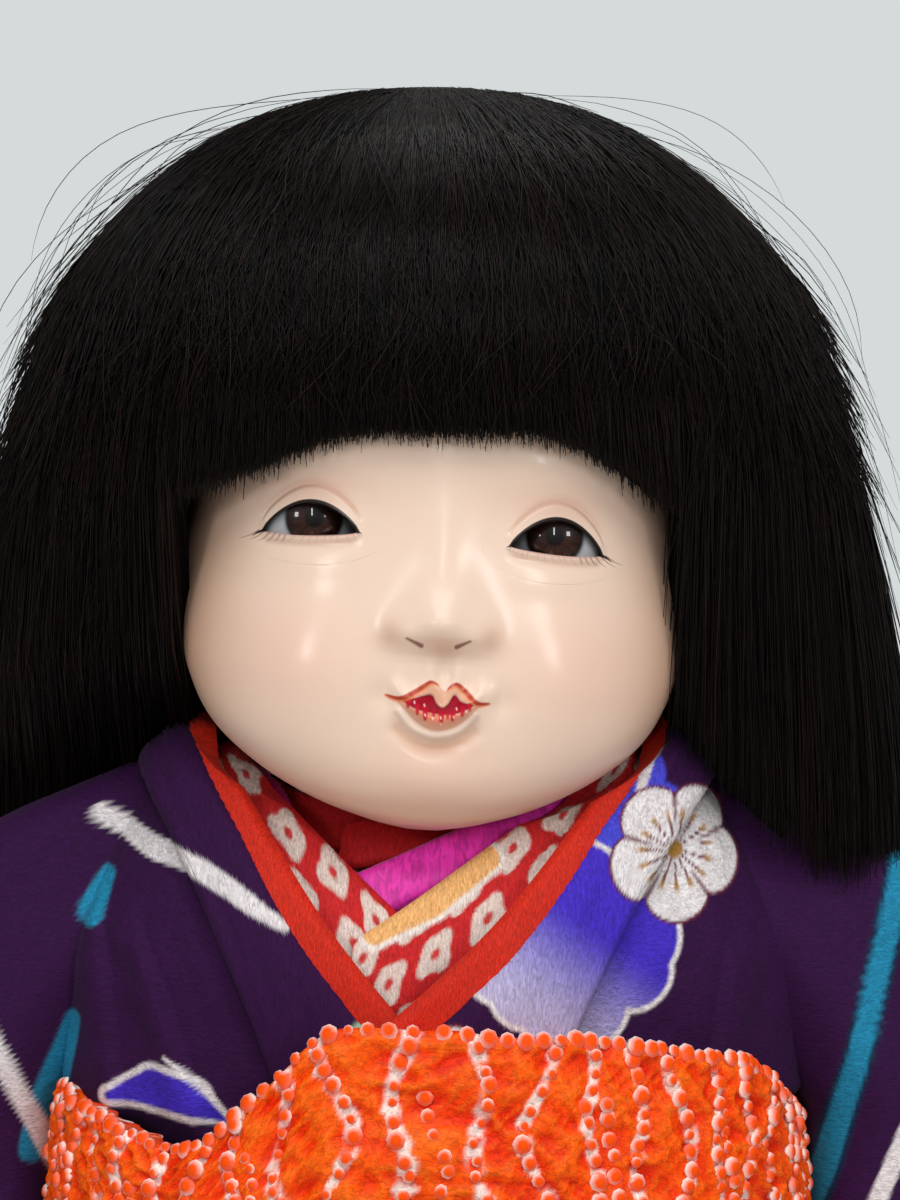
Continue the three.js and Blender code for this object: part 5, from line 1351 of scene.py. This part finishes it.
# Collars from the skin outwards, each a folded band that runs round the neck and crosses left over right.
collars = {
    "undershirt_collar": {"crossing": 6.5, "setIn": 0, "width": 9, "lift": 1.2, "over": 1.7, "tuck": 8,
                          "thick": 1.2, "flat": (0.011, 0.145), "colour": (190, 26, 30)},
    "pink_collar": {"crossing": 14, "setIn": 0, "farSetIn": 6, "width": 9, "lift": 4.4, "over": 1.7,
                    "tuck": 8, "thick": 1.4, "flat": (0.012, 0.16), "colour": (250, 60, 190)},
    "dotted_collar": {"crossing": 22.5, "setIn": 0, "width": 16, "lift": 8.6, "over": 1.9, "tuck": 8,
                      "thick": 1.5, "flat": (0.017, 0.205), "colour": (205, 38, 40)},
    "accent_collar": {"crossing": 37.5, "setIn": 0, "width": 9, "lift": 13.4, "over": 4.3, "tuck": 12,
                      "thick": 2.0, "flat": (0.013, 0.25), "colour": (214, 44, 24)},
    "kimono_collar": {"crossing": 37.5, "setIn": 5.6, "width": 24, "lift": 15.0, "over": 4.3, "tuck": 12,
                      "thick": 1.9, "flat": (0.026, 0.255), "colour": kimono["purple"]},
}
upperMesh = bodyCloth("kimono_upper", kimono["upperFoot"], figure["neck"],
                      *(((541, 164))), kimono["lift"])
skirtMesh = bodyCloth("kimono_skirt", kimono["hem"] - 5, kimono["skirtTop"],
                      *(((241, 140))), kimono["lift"], False)
upper = addPiece(upperMesh, purpleCrepe, "torso", ["kimono"])
skirt = addPiece(skirtMesh, purpleCrepe, "torso", ())
makeRoom(upper.data)


def collarBand(settings, stations, columns):
    lift, tuck = settings["lift"], settings["tuck"]
    startX, top = figureWidth(figure["neck"]) + lift, figure["neck"]
    apex = figure["shoulder"] - settings["crossing"]
    part = np.linspace(0, 1, columns)[None, :]
    edge = np.sqrt(np.clip(1 - np.abs(2 * part - 1) ** 5, 0, 1))
    rows, alongs = [], []
    share = np.linspace(1, 0, stations)[:, None] ** 1.15
    for side in (-1, 1):
        start = np.array([side * startX, top])
        way = np.array([figure["crossingX"], apex]) - start
        reach = np.linalg.norm(way)
        way = way / reach
        spotX, spotZ = start[0] + way[0] * share * (reach + tuck), start[1] + way[1] * share * (reach + tuck)
        opened = mix(0.5, 1 / abs(way[0]), smooth(share, 0, 0.45))
        climb = (settings["over"] if side > 0 else 0) * smooth(share, 0.15, 0.55)
        angle = frontAngle(spotX, spotZ, lift)
        along = side * share * (reach + tuck) + 0 * part
        wrinkle = 0.22 * noise(along + 90, part * settings["width"], 21 + side, 5) * edge
        farSetIn = settings.get("farSetIn", 0) if side < 0 else 0
        setIn = settings["setIn"] + farSetIn * smooth(share, 0.05, 0.4)
        fall = (setIn + part * settings["width"]) * opened
        low = levelBelow(angle + 0 * part, spotZ + 0 * part, lift, fall)
        rows.append(figurePoint(angle + 0 * part, low, lift + climb + settings["thick"] * edge + wrinkle))
        alongs.append(along)
    turns = np.radians(np.linspace(-89, -271, max(stations * 2 // 3, 24)))[:, None]
    fall = (settings["setIn"] + part * settings["width"]) * 0.5
    low = levelBelow(turns + 0 * part, top + 0 * turns + 0 * part, lift, fall)
    back = figurePoint(turns + 0 * part, low, lift + settings["thick"] * edge)
    points = np.vstack([rows[0], back, rows[1][::-1]])
    along = np.vstack([alongs[0], np.degrees(turns + np.pi) * 0.5 + 0 * part, alongs[1][::-1]])
    return points[:, ::-1], along[:, ::-1], np.broadcast_to(part * settings["width"], along.shape)[:, ::-1]


# Tied dots of the inner collar: rounded cream patches with a red middle, and a light leaf over them.
tied = {
    "long": 9.2, "wide": 6.6, "size": 2.85, "cream": (228, 208, 198), "eye": (205, 60, 58),
    "leaf": ((-9, 353), (0, 359), (10, 365)), "leafEdge": (238, 232, 226), "leafFill": (240, 182, 116),
}


def dottedTone(tone, along, across, points):
    row = np.floor(across / tied["wide"])
    shifted = along + np.where(row % 2 == 0, 0, tied["long"] / 2)
    cell = np.floor(shifted / tied["long"])
    du = shifted - (cell + 0.5) * tied["long"] + 0.7 * np.sin(cell * 5.1 + row * 2.3)
    dv = across - (row + 0.5) * tied["wide"] + 0.5 * np.sin(cell * 3.7 + row)
    bearing = np.arctan2(dv, du)
    size = tied["size"] + 0.35 * np.cos(4 * bearing + cell) + 0.25 * np.cos(3 * bearing + row * 2 + cell)
    away = np.hypot(du / 1.1, dv)
    tone = paintOver(tone, tied["cream"], 1 - smooth(away, size - 0.25, size + 0.2))
    tone = paintOver(tone, tied["eye"], 1 - smooth(away, 0.55, 0.95))
    x, z = points[..., 0], points[..., 2]
    onTop = along > 0
    tone = paintOver(tone, tied["leafEdge"], onTop * strokeCover(x, z, tied["leaf"], [6, 9, 6], 0.3))
    return paintOver(tone, tied["leafFill"], onTop * strokeCover(x, z, tied["leaf"], [4.2, 7.4, 4.4], 0.3))


# Each collar's cloth (name, roughness, pitch and strength of its ripples) and its material slot.
collarCloth = {
    "undershirt_collar": (("red crepe", 0.7, 1.2, 0.4), "red_crepe"),
    "pink_collar": (("pink satin", 0.34, 0.4, 0.12), "pink_satin"),
    "dotted_collar": (("dotted crepe", 0.75, 1.2, 0.5), "red_crepe"),
    "accent_collar": (("vermilion crepe", 0.6, 1.6, 0.9), "vermilion_crepe"),
    "kimono_collar": (None, "purple_crepe"),
}
for name, settings in collars.items():
    fine = 1 if name == "kimono_collar" else 0.75
    stations = int(210 * fine)
    columns = max(int(settings["width"] / 0.4), 16)
    points, along, across = collarBand(settings, stations, columns)
    tone = plainTone(settings["colour"], along.shape)
    if name == "dotted_collar":
        tone = dottedTone(tone, along, across, points)
    elif name == "kimono_collar":
        printed = frontPrint(tone, points[..., 0], points[..., 2])
        tone = np.where((points[..., 1] < 4)[..., None], printed, tone)
    mesh = gridMesh(name + "_band", points)
    makeRoom(mesh)
    setColour(mesh, "tone", tone)
    setPlace(mesh, "place", across, along)
    cloth, slotName = collarCloth[name]
    material = purpleCrepe
    if cloth:
        sheen = 0.3 if name == "pink_collar" else 0.03
        material = clothMaterial(cloth[0], settings["colour"], *cloth[1:], sheen=sheen)
    piece = addPiece(mesh, material, "torso", [name])
print("stage: collars done")

# The sash: crumpled tie-dyed silk with rows of raised dots.
sash = {
    "topFront": ([-67, -63.3, -52, -38.3, -26, -16, 0, 7, 31.5, 46, 58, 64, 67],
                 [321, 324, 321.5, 319, 329.7, 337.5, 338, 338, 336, 332.7, 327.4, 320.7, 318]),
    "foot": 257.9, "topBack": 330, "sideLift": 17.4, "frontLift": 22,
    "thick": 6, "halfWidth": 67, "highest": 334.9,
    "orange": (255, 82, 0), "crestHighlight": (255, 122, 24), "deep": (232, 44, 0), "ring": (255, 242, 234),
    "dotRadius": 1.04, "dotPitch": 2.9, "rowPitch": 7.6, "length": 400, "height": 79, "crumpleHeight": 78,
    "rolled": 0.08, "edgePitch": 2.4 / 63, "edgeShare": 0.995, "twinSide": 3.0, "twinRise": 0.9,
    "columns": 721, "rows": 106, "quickColumns": 261, "quickRows": 40, "flat": (0.10, 0.42),
}
silk = clothMaterial("orange silk", sash["orange"], 0.42, 0.6, 0.6, sheen=0, gloss=0.14, depth=0.00035)
dotPaint = paintedMaterial("tied dots", sash["orange"], 0.55, Specular_IOR_Level=0.12)


def sashTop(angle):
    around = np.degrees(angle)
    uneven = 1.2 * noise(around + 180, 0 * around, 31, 9) + 0.5 * noise(around + 180, 0 * around + 5, 32, 3.5)
    x = ovalPoint(angle, sash["halfWidth"], 1, 1, figure["squareness"])[0]
    front = runThrough(*sash["topFront"], x)
    return mix(front, sash["topBack"], smooth(np.abs(around), 90, 125)) + uneven


def sashPoint(angle, share, out):
    front = smooth(np.cos(angle), -0.1, 0.75)
    lift = mix(sash["sideLift"], sash["frontLift"], front)
    level = mix(sash["foot"], sashTop(angle), np.clip(share, 0, 1))
    swell = sash["thick"] * (0.45 + 0.55 * np.sin(np.pi * np.clip(share, 0.001, 0.999)) ** 0.5)
    points = figurePoint(angle, np.minimum(level, sash["highest"]), lift + swell + out)
    points[..., 2] = level
    return points


# Two sets of creases, whose crests lie where the values pass through nought.
def creases(around, level):
    broad = noise(around + 0.5 * level, level * 1.3, 43, 4.2)
    return broad, noise(around - level, level, 44, 2.3)


def crumple(around, level):
    folds = 0.7 * noise(around * 1.2, level, 41, 6.5)
    broad, fine = creases(around, level)
    return folds + 1.5 * (0.42 - np.abs(broad)) + 0.9 * (0.4 - np.abs(fine))


# How each row of dots sways as it climbs, and how far a place lies from its nearest row.
def rowSway(row, step):
    kind = row % 6
    return np.where(kind % 3 == 1, 2.4 * np.sin(step * 0.21 + kind), 0.9 * np.sin(step * 0.3 + row * 2.3))


def rowOffset(angle, share):
    place = (angle + np.pi) / math.tau * sash["length"]
    row = np.round(place / sash["rowPitch"])
    return place - row * sash["rowPitch"] - rowSway(row, share * sash["height"]), row


def sashSheet():
    columns = sash["columns"]
    rows = sash["rows"]
    angle, share = np.meshgrid(np.linspace(-1, 1, columns), np.linspace(0, 1, rows))
    angle = np.pi * (0.6 * angle + 0.4 * angle**3)
    share = (1 + sash["rolled"]) * (1 - (1 - share) ** 1.4)
    around, level = np.degrees(angle) * 1.2, share * sash["crumpleHeight"]
    rolled = np.maximum(share - 1, 0) / sash["rolled"]
    offset, row = rowOffset(angle, share)
    pinch = hill(offset, 1.3)
    points = sashPoint(angle, share, crumple(around, level) + 0.5 - 0.4 * pinch - 5.5 * rolled)
    points[..., 2] -= 1.5 * rolled**2
    tone = plainTone(sash["orange"], angle.shape)
    # Painted shade in the crease hollows and painted highlights along the crease crests.
    broad, fine = creases(around, level)
    hollow = 0.75 * smooth(np.abs(broad), 0.3, 0.75) + 0.5 * smooth(np.abs(fine), 0.35, 0.85)
    tone = paintOver(tone, sash["deep"], hollow)
    tone = paintOver(tone, sash["crestHighlight"], 0.6 * np.maximum(hill(broad, 0.11), 0.8 * hill(fine, 0.13)))
    thread = smooth(hill(offset, 1.35) * (0.8 + 0.6 * noise(level + row * 31, offset, 45, 1.5)), 0.4, 0.8)
    tone = paintOver(tone, sash["ring"], 0.9 * thread)
    mesh = gridMesh("sash_silk", points)
    setColour(mesh, "tone", tone)
    setPlace(mesh, "place", around * 2.6, level)
    weld(mesh)
    return mesh


# One bead for each tied dot, its ring pale on the side that the thread pulled.
def beads(name, places, normals, radius, seed):
    draw = np.random.default_rng(seed)
    one = bpy.data.meshes.new(name + " bead")
    work = bmesh.new()
    bmesh.ops.create_uvsphere(work, u_segments=8, v_segments=5, radius=1)
    for vert in work.verts:
        climb = (vert.co.z + 1) / 2
        flat = math.hypot(vert.co.x, vert.co.y)
        wide = 1.32 * math.sqrt(max(1 - climb**2.2, 0)) if flat > 1e-4 else 0
        turn = math.atan2(vert.co.y, vert.co.x)
        vert.co = (wide * math.cos(turn), wide * math.sin(turn), 1.3 * climb - 0.2)
    work.to_mesh(one)
    work.free()
    maker = bpy.data.objects.new(name + " maker", one)
    scene.collection.objects.link(maker)
    repeat = maker.modifiers.new("repeat", "ARRAY")
    repeat.count = len(places)
    repeat.use_relative_offset = False
    mesh = finishedMesh(maker, name)
    bpy.data.objects.remove(maker)
    each = len(mesh.vertices) // len(places)
    local = meshPoints(mesh).reshape(len(places), each, 3)
    side = np.cross((0, 0, 1.0), normals)
    side /= np.linalg.norm(side, axis=1, keepdims=True)
    rise = np.cross(normals, side)
    size = radius * draw.uniform(0.65, 1.25, (len(places), 1, 1))
    flat = local[..., :1] * side[:, None] + local[..., 1:2] * rise[:, None] * 1.05
    spots = places[:, None] + size * (flat + local[..., 2:] * normals[:, None] * 0.95)
    mesh.vertices.foreach_set("co", toFrame(spots.reshape(-1, 3)).ravel())
    lean = draw.normal(0, 0.6, (len(places), 2)) + np.array([-0.4, 0.45])
    facing = local[..., 0] * lean[:, :1] + local[..., 1] * lean[:, 1:]
    tone = plainTone(sash["orange"], facing.shape)
    away = np.hypot(local[..., 0], local[..., 1])
    ring = smooth(away, 0.88, 1.2) * (0.15 + 0.85 * smooth(facing, -0.35, 0.35))
    tone = paintOver(tone, sash["ring"], ring)
    setColour(mesh, "tone", tone)
    mesh.shade_smooth()
    return mesh


def sashDots():
    draw = np.random.default_rng(17)
    rows = np.arange(0, int(sash["length"] / sash["rowPitch"]))
    steps = np.arange(1.2, sash["crumpleHeight"], sash["dotPitch"])
    row, step = np.meshgrid(rows, steps, indexing="ij")
    row, step = row.ravel(), step.ravel() + draw.normal(0, 0.25, row.size)
    twin = (row % 3 == 2) & ((step / sash["dotPitch"]).astype(int) % 9 < 6)
    place = row * sash["rowPitch"] + rowSway(row, step) + draw.normal(0, 0.2, row.size)
    place = np.concatenate([place, place[twin] + sash["twinSide"]])
    step = np.concatenate([step, step[twin] + sash["twinRise"]])
    angles, shares = place / sash["length"] * math.tau - math.pi, step / sash["height"]
    edge = np.arange(-math.pi, math.pi, sash["edgePitch"])
    angle = np.concatenate([angles, edge])
    share = np.clip(np.concatenate([shares, np.full(len(edge), sash["edgeShare"])]), 0, 1)
    keep = slice(None)
    angle, share = angle[keep], share[keep]
    out = crumple(np.degrees(angle) * 1.2, share * sash["crumpleHeight"])
    here = sashPoint(angle, share, out)
    ahead = sashPoint(angle + 0.01, share, out)
    above = sashPoint(angle, np.minimum(share + 0.02, 1.0), out)
    below = sashPoint(angle, np.maximum(share - 0.02, 0.0), out)
    normal = np.cross(ahead - here, above - below)
    normal /= np.linalg.norm(normal, axis=1, keepdims=True)
    return beads("sash_dots", here + normal * 0.3, normal, sash["dotRadius"], 23)


sashPiece = addPiece(sashSheet(), silk, "torso", ["sash"])
dotPiece = addPiece(sashDots(), dotPaint, "torso", ())
print("stage: sash done")

# Sleeves: hanging pouches of the printed crepe over red linings, open at the wrist.
sleeve = {
    "inside": ([148.9, 156.9, 256.9, 316, 324, 336, 350, 371, 383],
               [74.4, 70, 67.4, 66.9, 63, 52, 43, 40, 38]),
    "outside": ([148.9, 156.9, 246.9, 296.9, 346.9, 358, 366, 371, 376, 383],
                [106, 112, 112, 109, 102, 94, 84, 75, 63, 46]),
    "half": ([148.9, 153, 160, 256.9, 340, 352, 362, 369, 375, 383], [2.5, 6, 11, 17, 19, 18, 15, 12, 9, 3]),
    "swing": ([148.9, 256.9, 326.9, 370.9], [-4, -7, -3, -1]), "squareness": 2.6,
    "foot": 149.5, "top": 383, "wristX": 103.5, "wristLow": 221, "wristHigh": 277, "frontFoot": 285,
    "capTop": 0.3815, "capFoot": 0.152, "red": (188, 28, 32), "lining": 2.2,
    "jointStart": 0.050, "jointEnd": 0.072, "flat": (0.125, 0.235), "underFlat": (0.11, 0.23),
}


def sleeveCloth(side, shrink, columns, rows):
    levels = np.linspace(sleeve["foot"] + shrink, sleeve["top"] - shrink, rows)
    angle, level = np.meshgrid(np.linspace(-np.pi, np.pi, columns), levels)
    near = runThrough(*sleeve["inside"], level) + shrink
    far = runThrough(*sleeve["outside"], level) - shrink
    half = np.maximum(runThrough(*sleeve["half"], level) - shrink, 0.4)
    x, y = ovalPoint(angle, (far - near) / 2, half, half, sleeve["squareness"])
    drape = 1 - smooth(level, 240, 345)
    fold = 2.6 * drape * np.sin(x / 7.5 + 0.6 * np.sin(level / 40)) + 0.8 * noise(x + 60, level, 51, 14)
    tuck = 1.4 * smooth(level, 300, 350) * np.sin(x / 5 + level / 18) * (1 - smooth(level, 358, 376))
    x, y = x + (far + near) / 2, y + runThrough(*sleeve["swing"], level) + fold + tuck
    points = np.stack([side * x, y, level], -1)
    return points[:, ::side], (side * x)[:, ::side], level[:, ::side], (np.cos(angle) > 0)[:, ::side]


def sleevePiece(name, side, shrink, material, node, printed):
    columns, rows = (241, 270) if printed else (91, 120)
    points, x, level, front = sleeveCloth(side, shrink, columns, rows)
    mesh = gridMesh(name, points)
    if printed:
        tone = plainTone(kimono["purple"], x.shape)
        low = scatterPrint(tone, x, level, 61 + side, (-105, 70) if side < 0 else (60, 90), (170, 270), 5)
        high = frontPrint(tone, x, level)
        tone = np.where((front & (level > sleeve["frontFoot"]))[..., None], high, low)
    else:
        tone = plainTone(sleeve["red"], x.shape)
    setColour(mesh, "tone", tone)
    setPlace(mesh, "place", x, level)
    mouth = (level > sleeve["wristLow"]) & (level < sleeve["wristHigh"])
    cutAway(mesh, mouth & (np.abs(x) > sleeve["wristX"] - shrink))
    weld(mesh)
    top, foot = sleeve["capTop"] - shrink / 1000, sleeve["capFoot"] + shrink / 1000
    work = bmesh.new()
    work.from_mesh(mesh)
    rims = [edge for edge in work.edges if edge.is_boundary]
    ends = [edge for edge in rims if all(vert.co.z > top or vert.co.z < foot for vert in edge.verts)]
    bmesh.ops.holes_fill(work, edges=ends, sides=0)
    work.to_mesh(mesh)
    work.free()
    mesh.shade_smooth()
    piece = addPiece(mesh, material, None, [node])
    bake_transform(piece)
    return piece


redCrepe = clothMaterial("red lining", sleeve["red"], 0.7, 1.2, 0.5)
for side, word in ((1, "left"), (-1, "right")):
    outer = sleevePiece(f"{word}_sleeve_cloth", side, 0, purpleCrepe, f"{word}_sleeve", True)
    inner = sleevePiece(f"{word}_under_sleeve_cloth", side, sleeve["lining"], redCrepe,
                        f"{word}_under_sleeve", False)


# The red layer under the skirt and the padded red roll at the hem.
under = {"foot": 33, "top": 330, "lift": 7.2, "flat": (0.298, 0.30)}
hem = {"level": 34, "figureLevel": 33.8, "setIn": 1.0, "pleat": 1.6, "deep": 2.2, "tall": 3.0, "fill": 0.8}


def redMesh(name, points, across, along):
    mesh = gridMesh(name, points)
    setColour(mesh, "tone", plainTone(sleeve["red"], across.shape))
    setPlace(mesh, "place", across, along)
    weld(mesh)
    return mesh


angle, level = np.meshgrid(np.linspace(-np.pi, np.pi, 121), np.linspace(under["foot"], under["top"], 60))
underMesh = redMesh("under_kimono_cloth", figurePoint(angle, level, under["lift"]), np.degrees(angle), level)
underPiece = addPiece(underMesh, redCrepe, "torso", ["under_kimono"])

angle, turn = np.meshgrid(np.linspace(-np.pi, np.pi, 181), np.linspace(0, 2 * np.pi, 25))
pleat = hem["pleat"] * np.sin(angle * 9 + 0.62)
hemLift = kimono["lift"] - hem["setIn"] + pleat + hem["deep"] * np.cos(turn)
points = figurePoint(angle, hem["figureLevel"] + 0 * angle, hemLift)
points[..., 2] = hem["level"] + hem["tall"] * np.sin(turn)
hemMesh = redMesh("hem_roll", points, np.degrees(angle), np.degrees(turn) / 20)
addPiece(hemMesh, redCrepe, "torso", ["hem_lining"])

# The bow behind: a knot, two loops and two tails of the same silk.
bow = {
    "level": 306.3, "back": 52.8, "knot": (28, 30, 20), "reach": 59, "height": 50, "depth": 30,
    "tail": (96, 34, 5), "loopFlat": (0.05, 0.105), "tailFlat": (0.06, 0.098), "fill": 0.7,
}


def silkPiece(name, points, node, seed, dots):
    around = np.arange(points.shape[1])[None, :] * 1.1 + np.zeros(points.shape[:2])
    along = np.arange(points.shape[0])[:, None] * 0.9 + np.zeros(points.shape[:2])
    mesh = gridMesh(name, points)
    # Painted shade in the hollows of the crumples.
    hollow = smooth(crumple(around + seed, along), 0.1, -0.9)
    tone = paintOver(plainTone(sash["orange"], around.shape), sash["deep"], 0.75 * hollow)
    setColour(mesh, "tone", tone)
    setPlace(mesh, "place", around, along)
    weld(mesh)
    piece = addPiece(mesh, silk, "torso", [node])
    extras = []
    if dots:
        rows, columns = points.shape[:2]
        row, column = np.meshgrid(np.arange(3, rows - 3, 4), np.arange(2, columns - 3, 7), indexing="ij")
        row, column = row.ravel(), (column + (row // 4 % 2) * 3).ravel()
        here = points[row, column]
        ahead = points[row, column + 1] - points[row, column - 1]
        normal = np.cross(ahead, points[row + 1, column] - points[row - 1, column])
        normal /= np.maximum(np.linalg.norm(normal, axis=1, keepdims=True), 1e-9)
        dotMesh = beads(name + "_dots", here + normal * 0.25, normal, sash["dotRadius"], seed)
        extras = [addPiece(dotMesh, dotPaint, "torso", ())]
    return piece


def bowLoop(side):
    share, angle = np.meshgrid(np.linspace(0, 1, 62), np.linspace(-np.pi, np.pi, 101), indexing="ij")
    start = bow["knot"][0] / 2 - 3
    x = start + share * (bow["reach"] - start)
    swell = np.sin(np.pi * (0.22 + 0.779 * share)) ** 0.7
    tall = bow["height"] / 2 * swell * (0.7 + 0.3 * share)
    deep = bow["depth"] / 2 * swell
    z, y = ovalPoint(angle, tall, deep, deep, 2.3)
    crease = 0.9 * crumple(np.degrees(angle) * 0.4, share * 50) * smooth(share, 0, 0.2)
    pleat = 1.6 * np.cos(5 * angle) * (1 - smooth(share, 0, 0.6))
    scale = 1 + (crease + pleat) / np.maximum(np.hypot(tall, deep), 4)
    y = bow["back"] + bow["depth"] / 2 + y * scale * (1 - 0.12 * np.cos(2 * angle))
    points = np.stack([side * x, y, bow["level"] + z * scale + share * 3], -1)
    return points[:, ::-side]


def bowTail(side):
    share, angle = np.meshgrid(np.linspace(0, 1, 90), np.linspace(-np.pi, np.pi, 71), indexing="ij")
    long, wide, thick = bow["tail"]
    half = wide / 2 * (0.45 + 0.55 * share)
    x, y = ovalPoint(angle, half, thick / 2, thick / 2, 3)
    fold = 2.2 * np.sin(x / wide * 3 * np.pi) * share + 0.7 * crumple(x * 2 + 30, share * 90)
    top = bow["level"] - bow["knot"][1] / 2 + 4
    y = bow["back"] + bow["knot"][2] * 0.4 + y + fold + share * 4
    return np.stack([x + side * (1.2 + half), y, top - share * (long + 3)], -1)


def bowKnot():
    share, angle = np.meshgrid(np.linspace(-1, 1, 44), np.linspace(-np.pi, np.pi, 81), indexing="ij")
    wide, tall, deep = bow["knot"]
    bulge = (1 - np.abs(share) ** 3.2) ** 0.4 * 0.92 + 0.05
    x, y = ovalPoint(angle, wide / 2 * bulge, deep / 2 * bulge, deep / 2 * bulge, 3)
    crease = 0.9 * np.sin(x / 2.2 + share * 2) + 0.5 * crumple(np.degrees(angle) * 0.3, share * 20)
    return np.stack([x, bow["back"] + deep / 2 + y + crease * 0.6, bow["level"] + share * tall / 2], -1)


for side, word in ((1, "left"), (-1, "right")):
    silkPiece(f"bow_{word}_loop_silk", bowLoop(side), f"bow_{word}_loop", 71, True)
    silkPiece(f"bow_{word}_tail_silk", bowTail(side)[:, ::-1], f"bow_{word}_tail", 73, False)
silkPiece("bow_knot_silk", bowKnot(), "bow_knot", 75, False)
print("stage: sleeves and bow done")

# Limbs, socks and sandals start from the shared solids, smoothed.
plainSkin = newMaterial("painted limb", head["skin"], head["roughness"], Coat_Weight=head["coat"],
                        Coat_Roughness=head["coatRoughness"])[0]
cotton = clothMaterial("cotton", (214, 204, 184), 0.9, 1, 0.4, painted=False)
sockCotton = clothMaterial("sock cotton", (228, 226, 220), 0.9, 1.4, 0.4, painted=False)
strapSilk = clothMaterial("strap silk", sleeve["red"], 0.6, 1.4, 0.4, painted=False)
cordSilk = clothMaterial("cord satin", (226, 62, 186), 0.4, 0.6, 0.2, painted=False)


# A solid remade in small even faces and smoothed for some rounds; the voxel is in metres.
def solidCopy(node, material, voxel, rounds):
    mesh = frame["nodes"][node].data.copy()
    mesh.name = node + "_look"
    weld(mesh, 1e-5)
    piece = addPiece(mesh, material, None, ())
    remake = piece.modifiers.new("remake", "REMESH")
    remake.mode = "VOXEL"
    remake.voxel_size = voxel
    remake.use_smooth_shade = True
    soften = piece.modifiers.new("soften", "SMOOTH")
    soften.factor = 0.5
    soften.iterations = rounds
    done = finishedMesh(piece, node + "_look")
    piece.modifiers.clear()
    piece.data = done
    spots = meshPoints(done) * 1000
    setPlace(done, "place", spots[:, 0] + spots[:, 1], spots[:, 2])
    done.shade_smooth()
    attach(piece, frame["nodes"][node]["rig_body"])
    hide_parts(node)
    return piece


for word in ("left", "right"):
    solidCopy(f"{word}_forearm", plainSkin, 0.0007, 8)
    solidCopy(f"{word}_lower_leg", plainSkin, 0.0014, 6)
    solidCopy(f"{word}_upper_arm", cotton, 0.0012, 6)
    solidCopy(f"{word}_thigh", cotton, 0.002, 4)
    solidCopy(f"{word}_sock", sockCotton, 0.0009, 5)
    solidCopy(f"{word}_sandal_strap", strapSilk, 0.0006, 6)
solidCopy("waist_cord", cordSilk, 0.0014, 3)
solidCopy("midriff_cloth", cotton, 0.0025, 4)

# Straw: plaited rows over the sole.
plait = {
    "straw": (206, 170, 112), "Color1": (214, 180, 122), "Color2": (190, 150, 94), "Mortar": (140, 104, 62),
    "scale": 190, "gap": 0.04, "strength": 0.6, "depth": 0.0004,
}
straw, strawTree, strawSurface = newMaterial("straw", plait["straw"], 0.7)
strawPlace = addNode(strawTree, "ShaderNodeTexCoord")
strawRows = addNode(strawTree, "ShaderNodeTexBrick")
for key in ("Color1", "Color2", "Mortar"):
    strawRows.inputs[key].default_value = (*linear(*plait[key]), 1)
strawRows.inputs["Scale"].default_value = plait["scale"]
strawRows.inputs["Mortar Size"].default_value = plait["gap"]
strawTree.links.new(strawPlace.outputs["Object"], strawRows.inputs["Vector"])
strawTree.links.new(strawRows.outputs["Color"], strawSurface.inputs["Base Color"])
strawBump = addNode(strawTree, "ShaderNodeBump")
strawBump.inputs["Strength"].default_value = plait["strength"]
strawBump.inputs["Distance"].default_value = plait["depth"]
strawTree.links.new(strawRows.outputs["Fac"], strawBump.inputs["Height"])
strawTree.links.new(strawBump.outputs[0], strawSurface.inputs["Normal"])
shells = {"left_sandal": straw, "right_sandal": straw, "chest_shell": plainSkin, "hip_shell": plainSkin}
for node, material in shells.items():
    shell = frame["nodes"][node].data
    shell.materials.clear()
    shell.materials.append(material)
print("stage: limbs done")
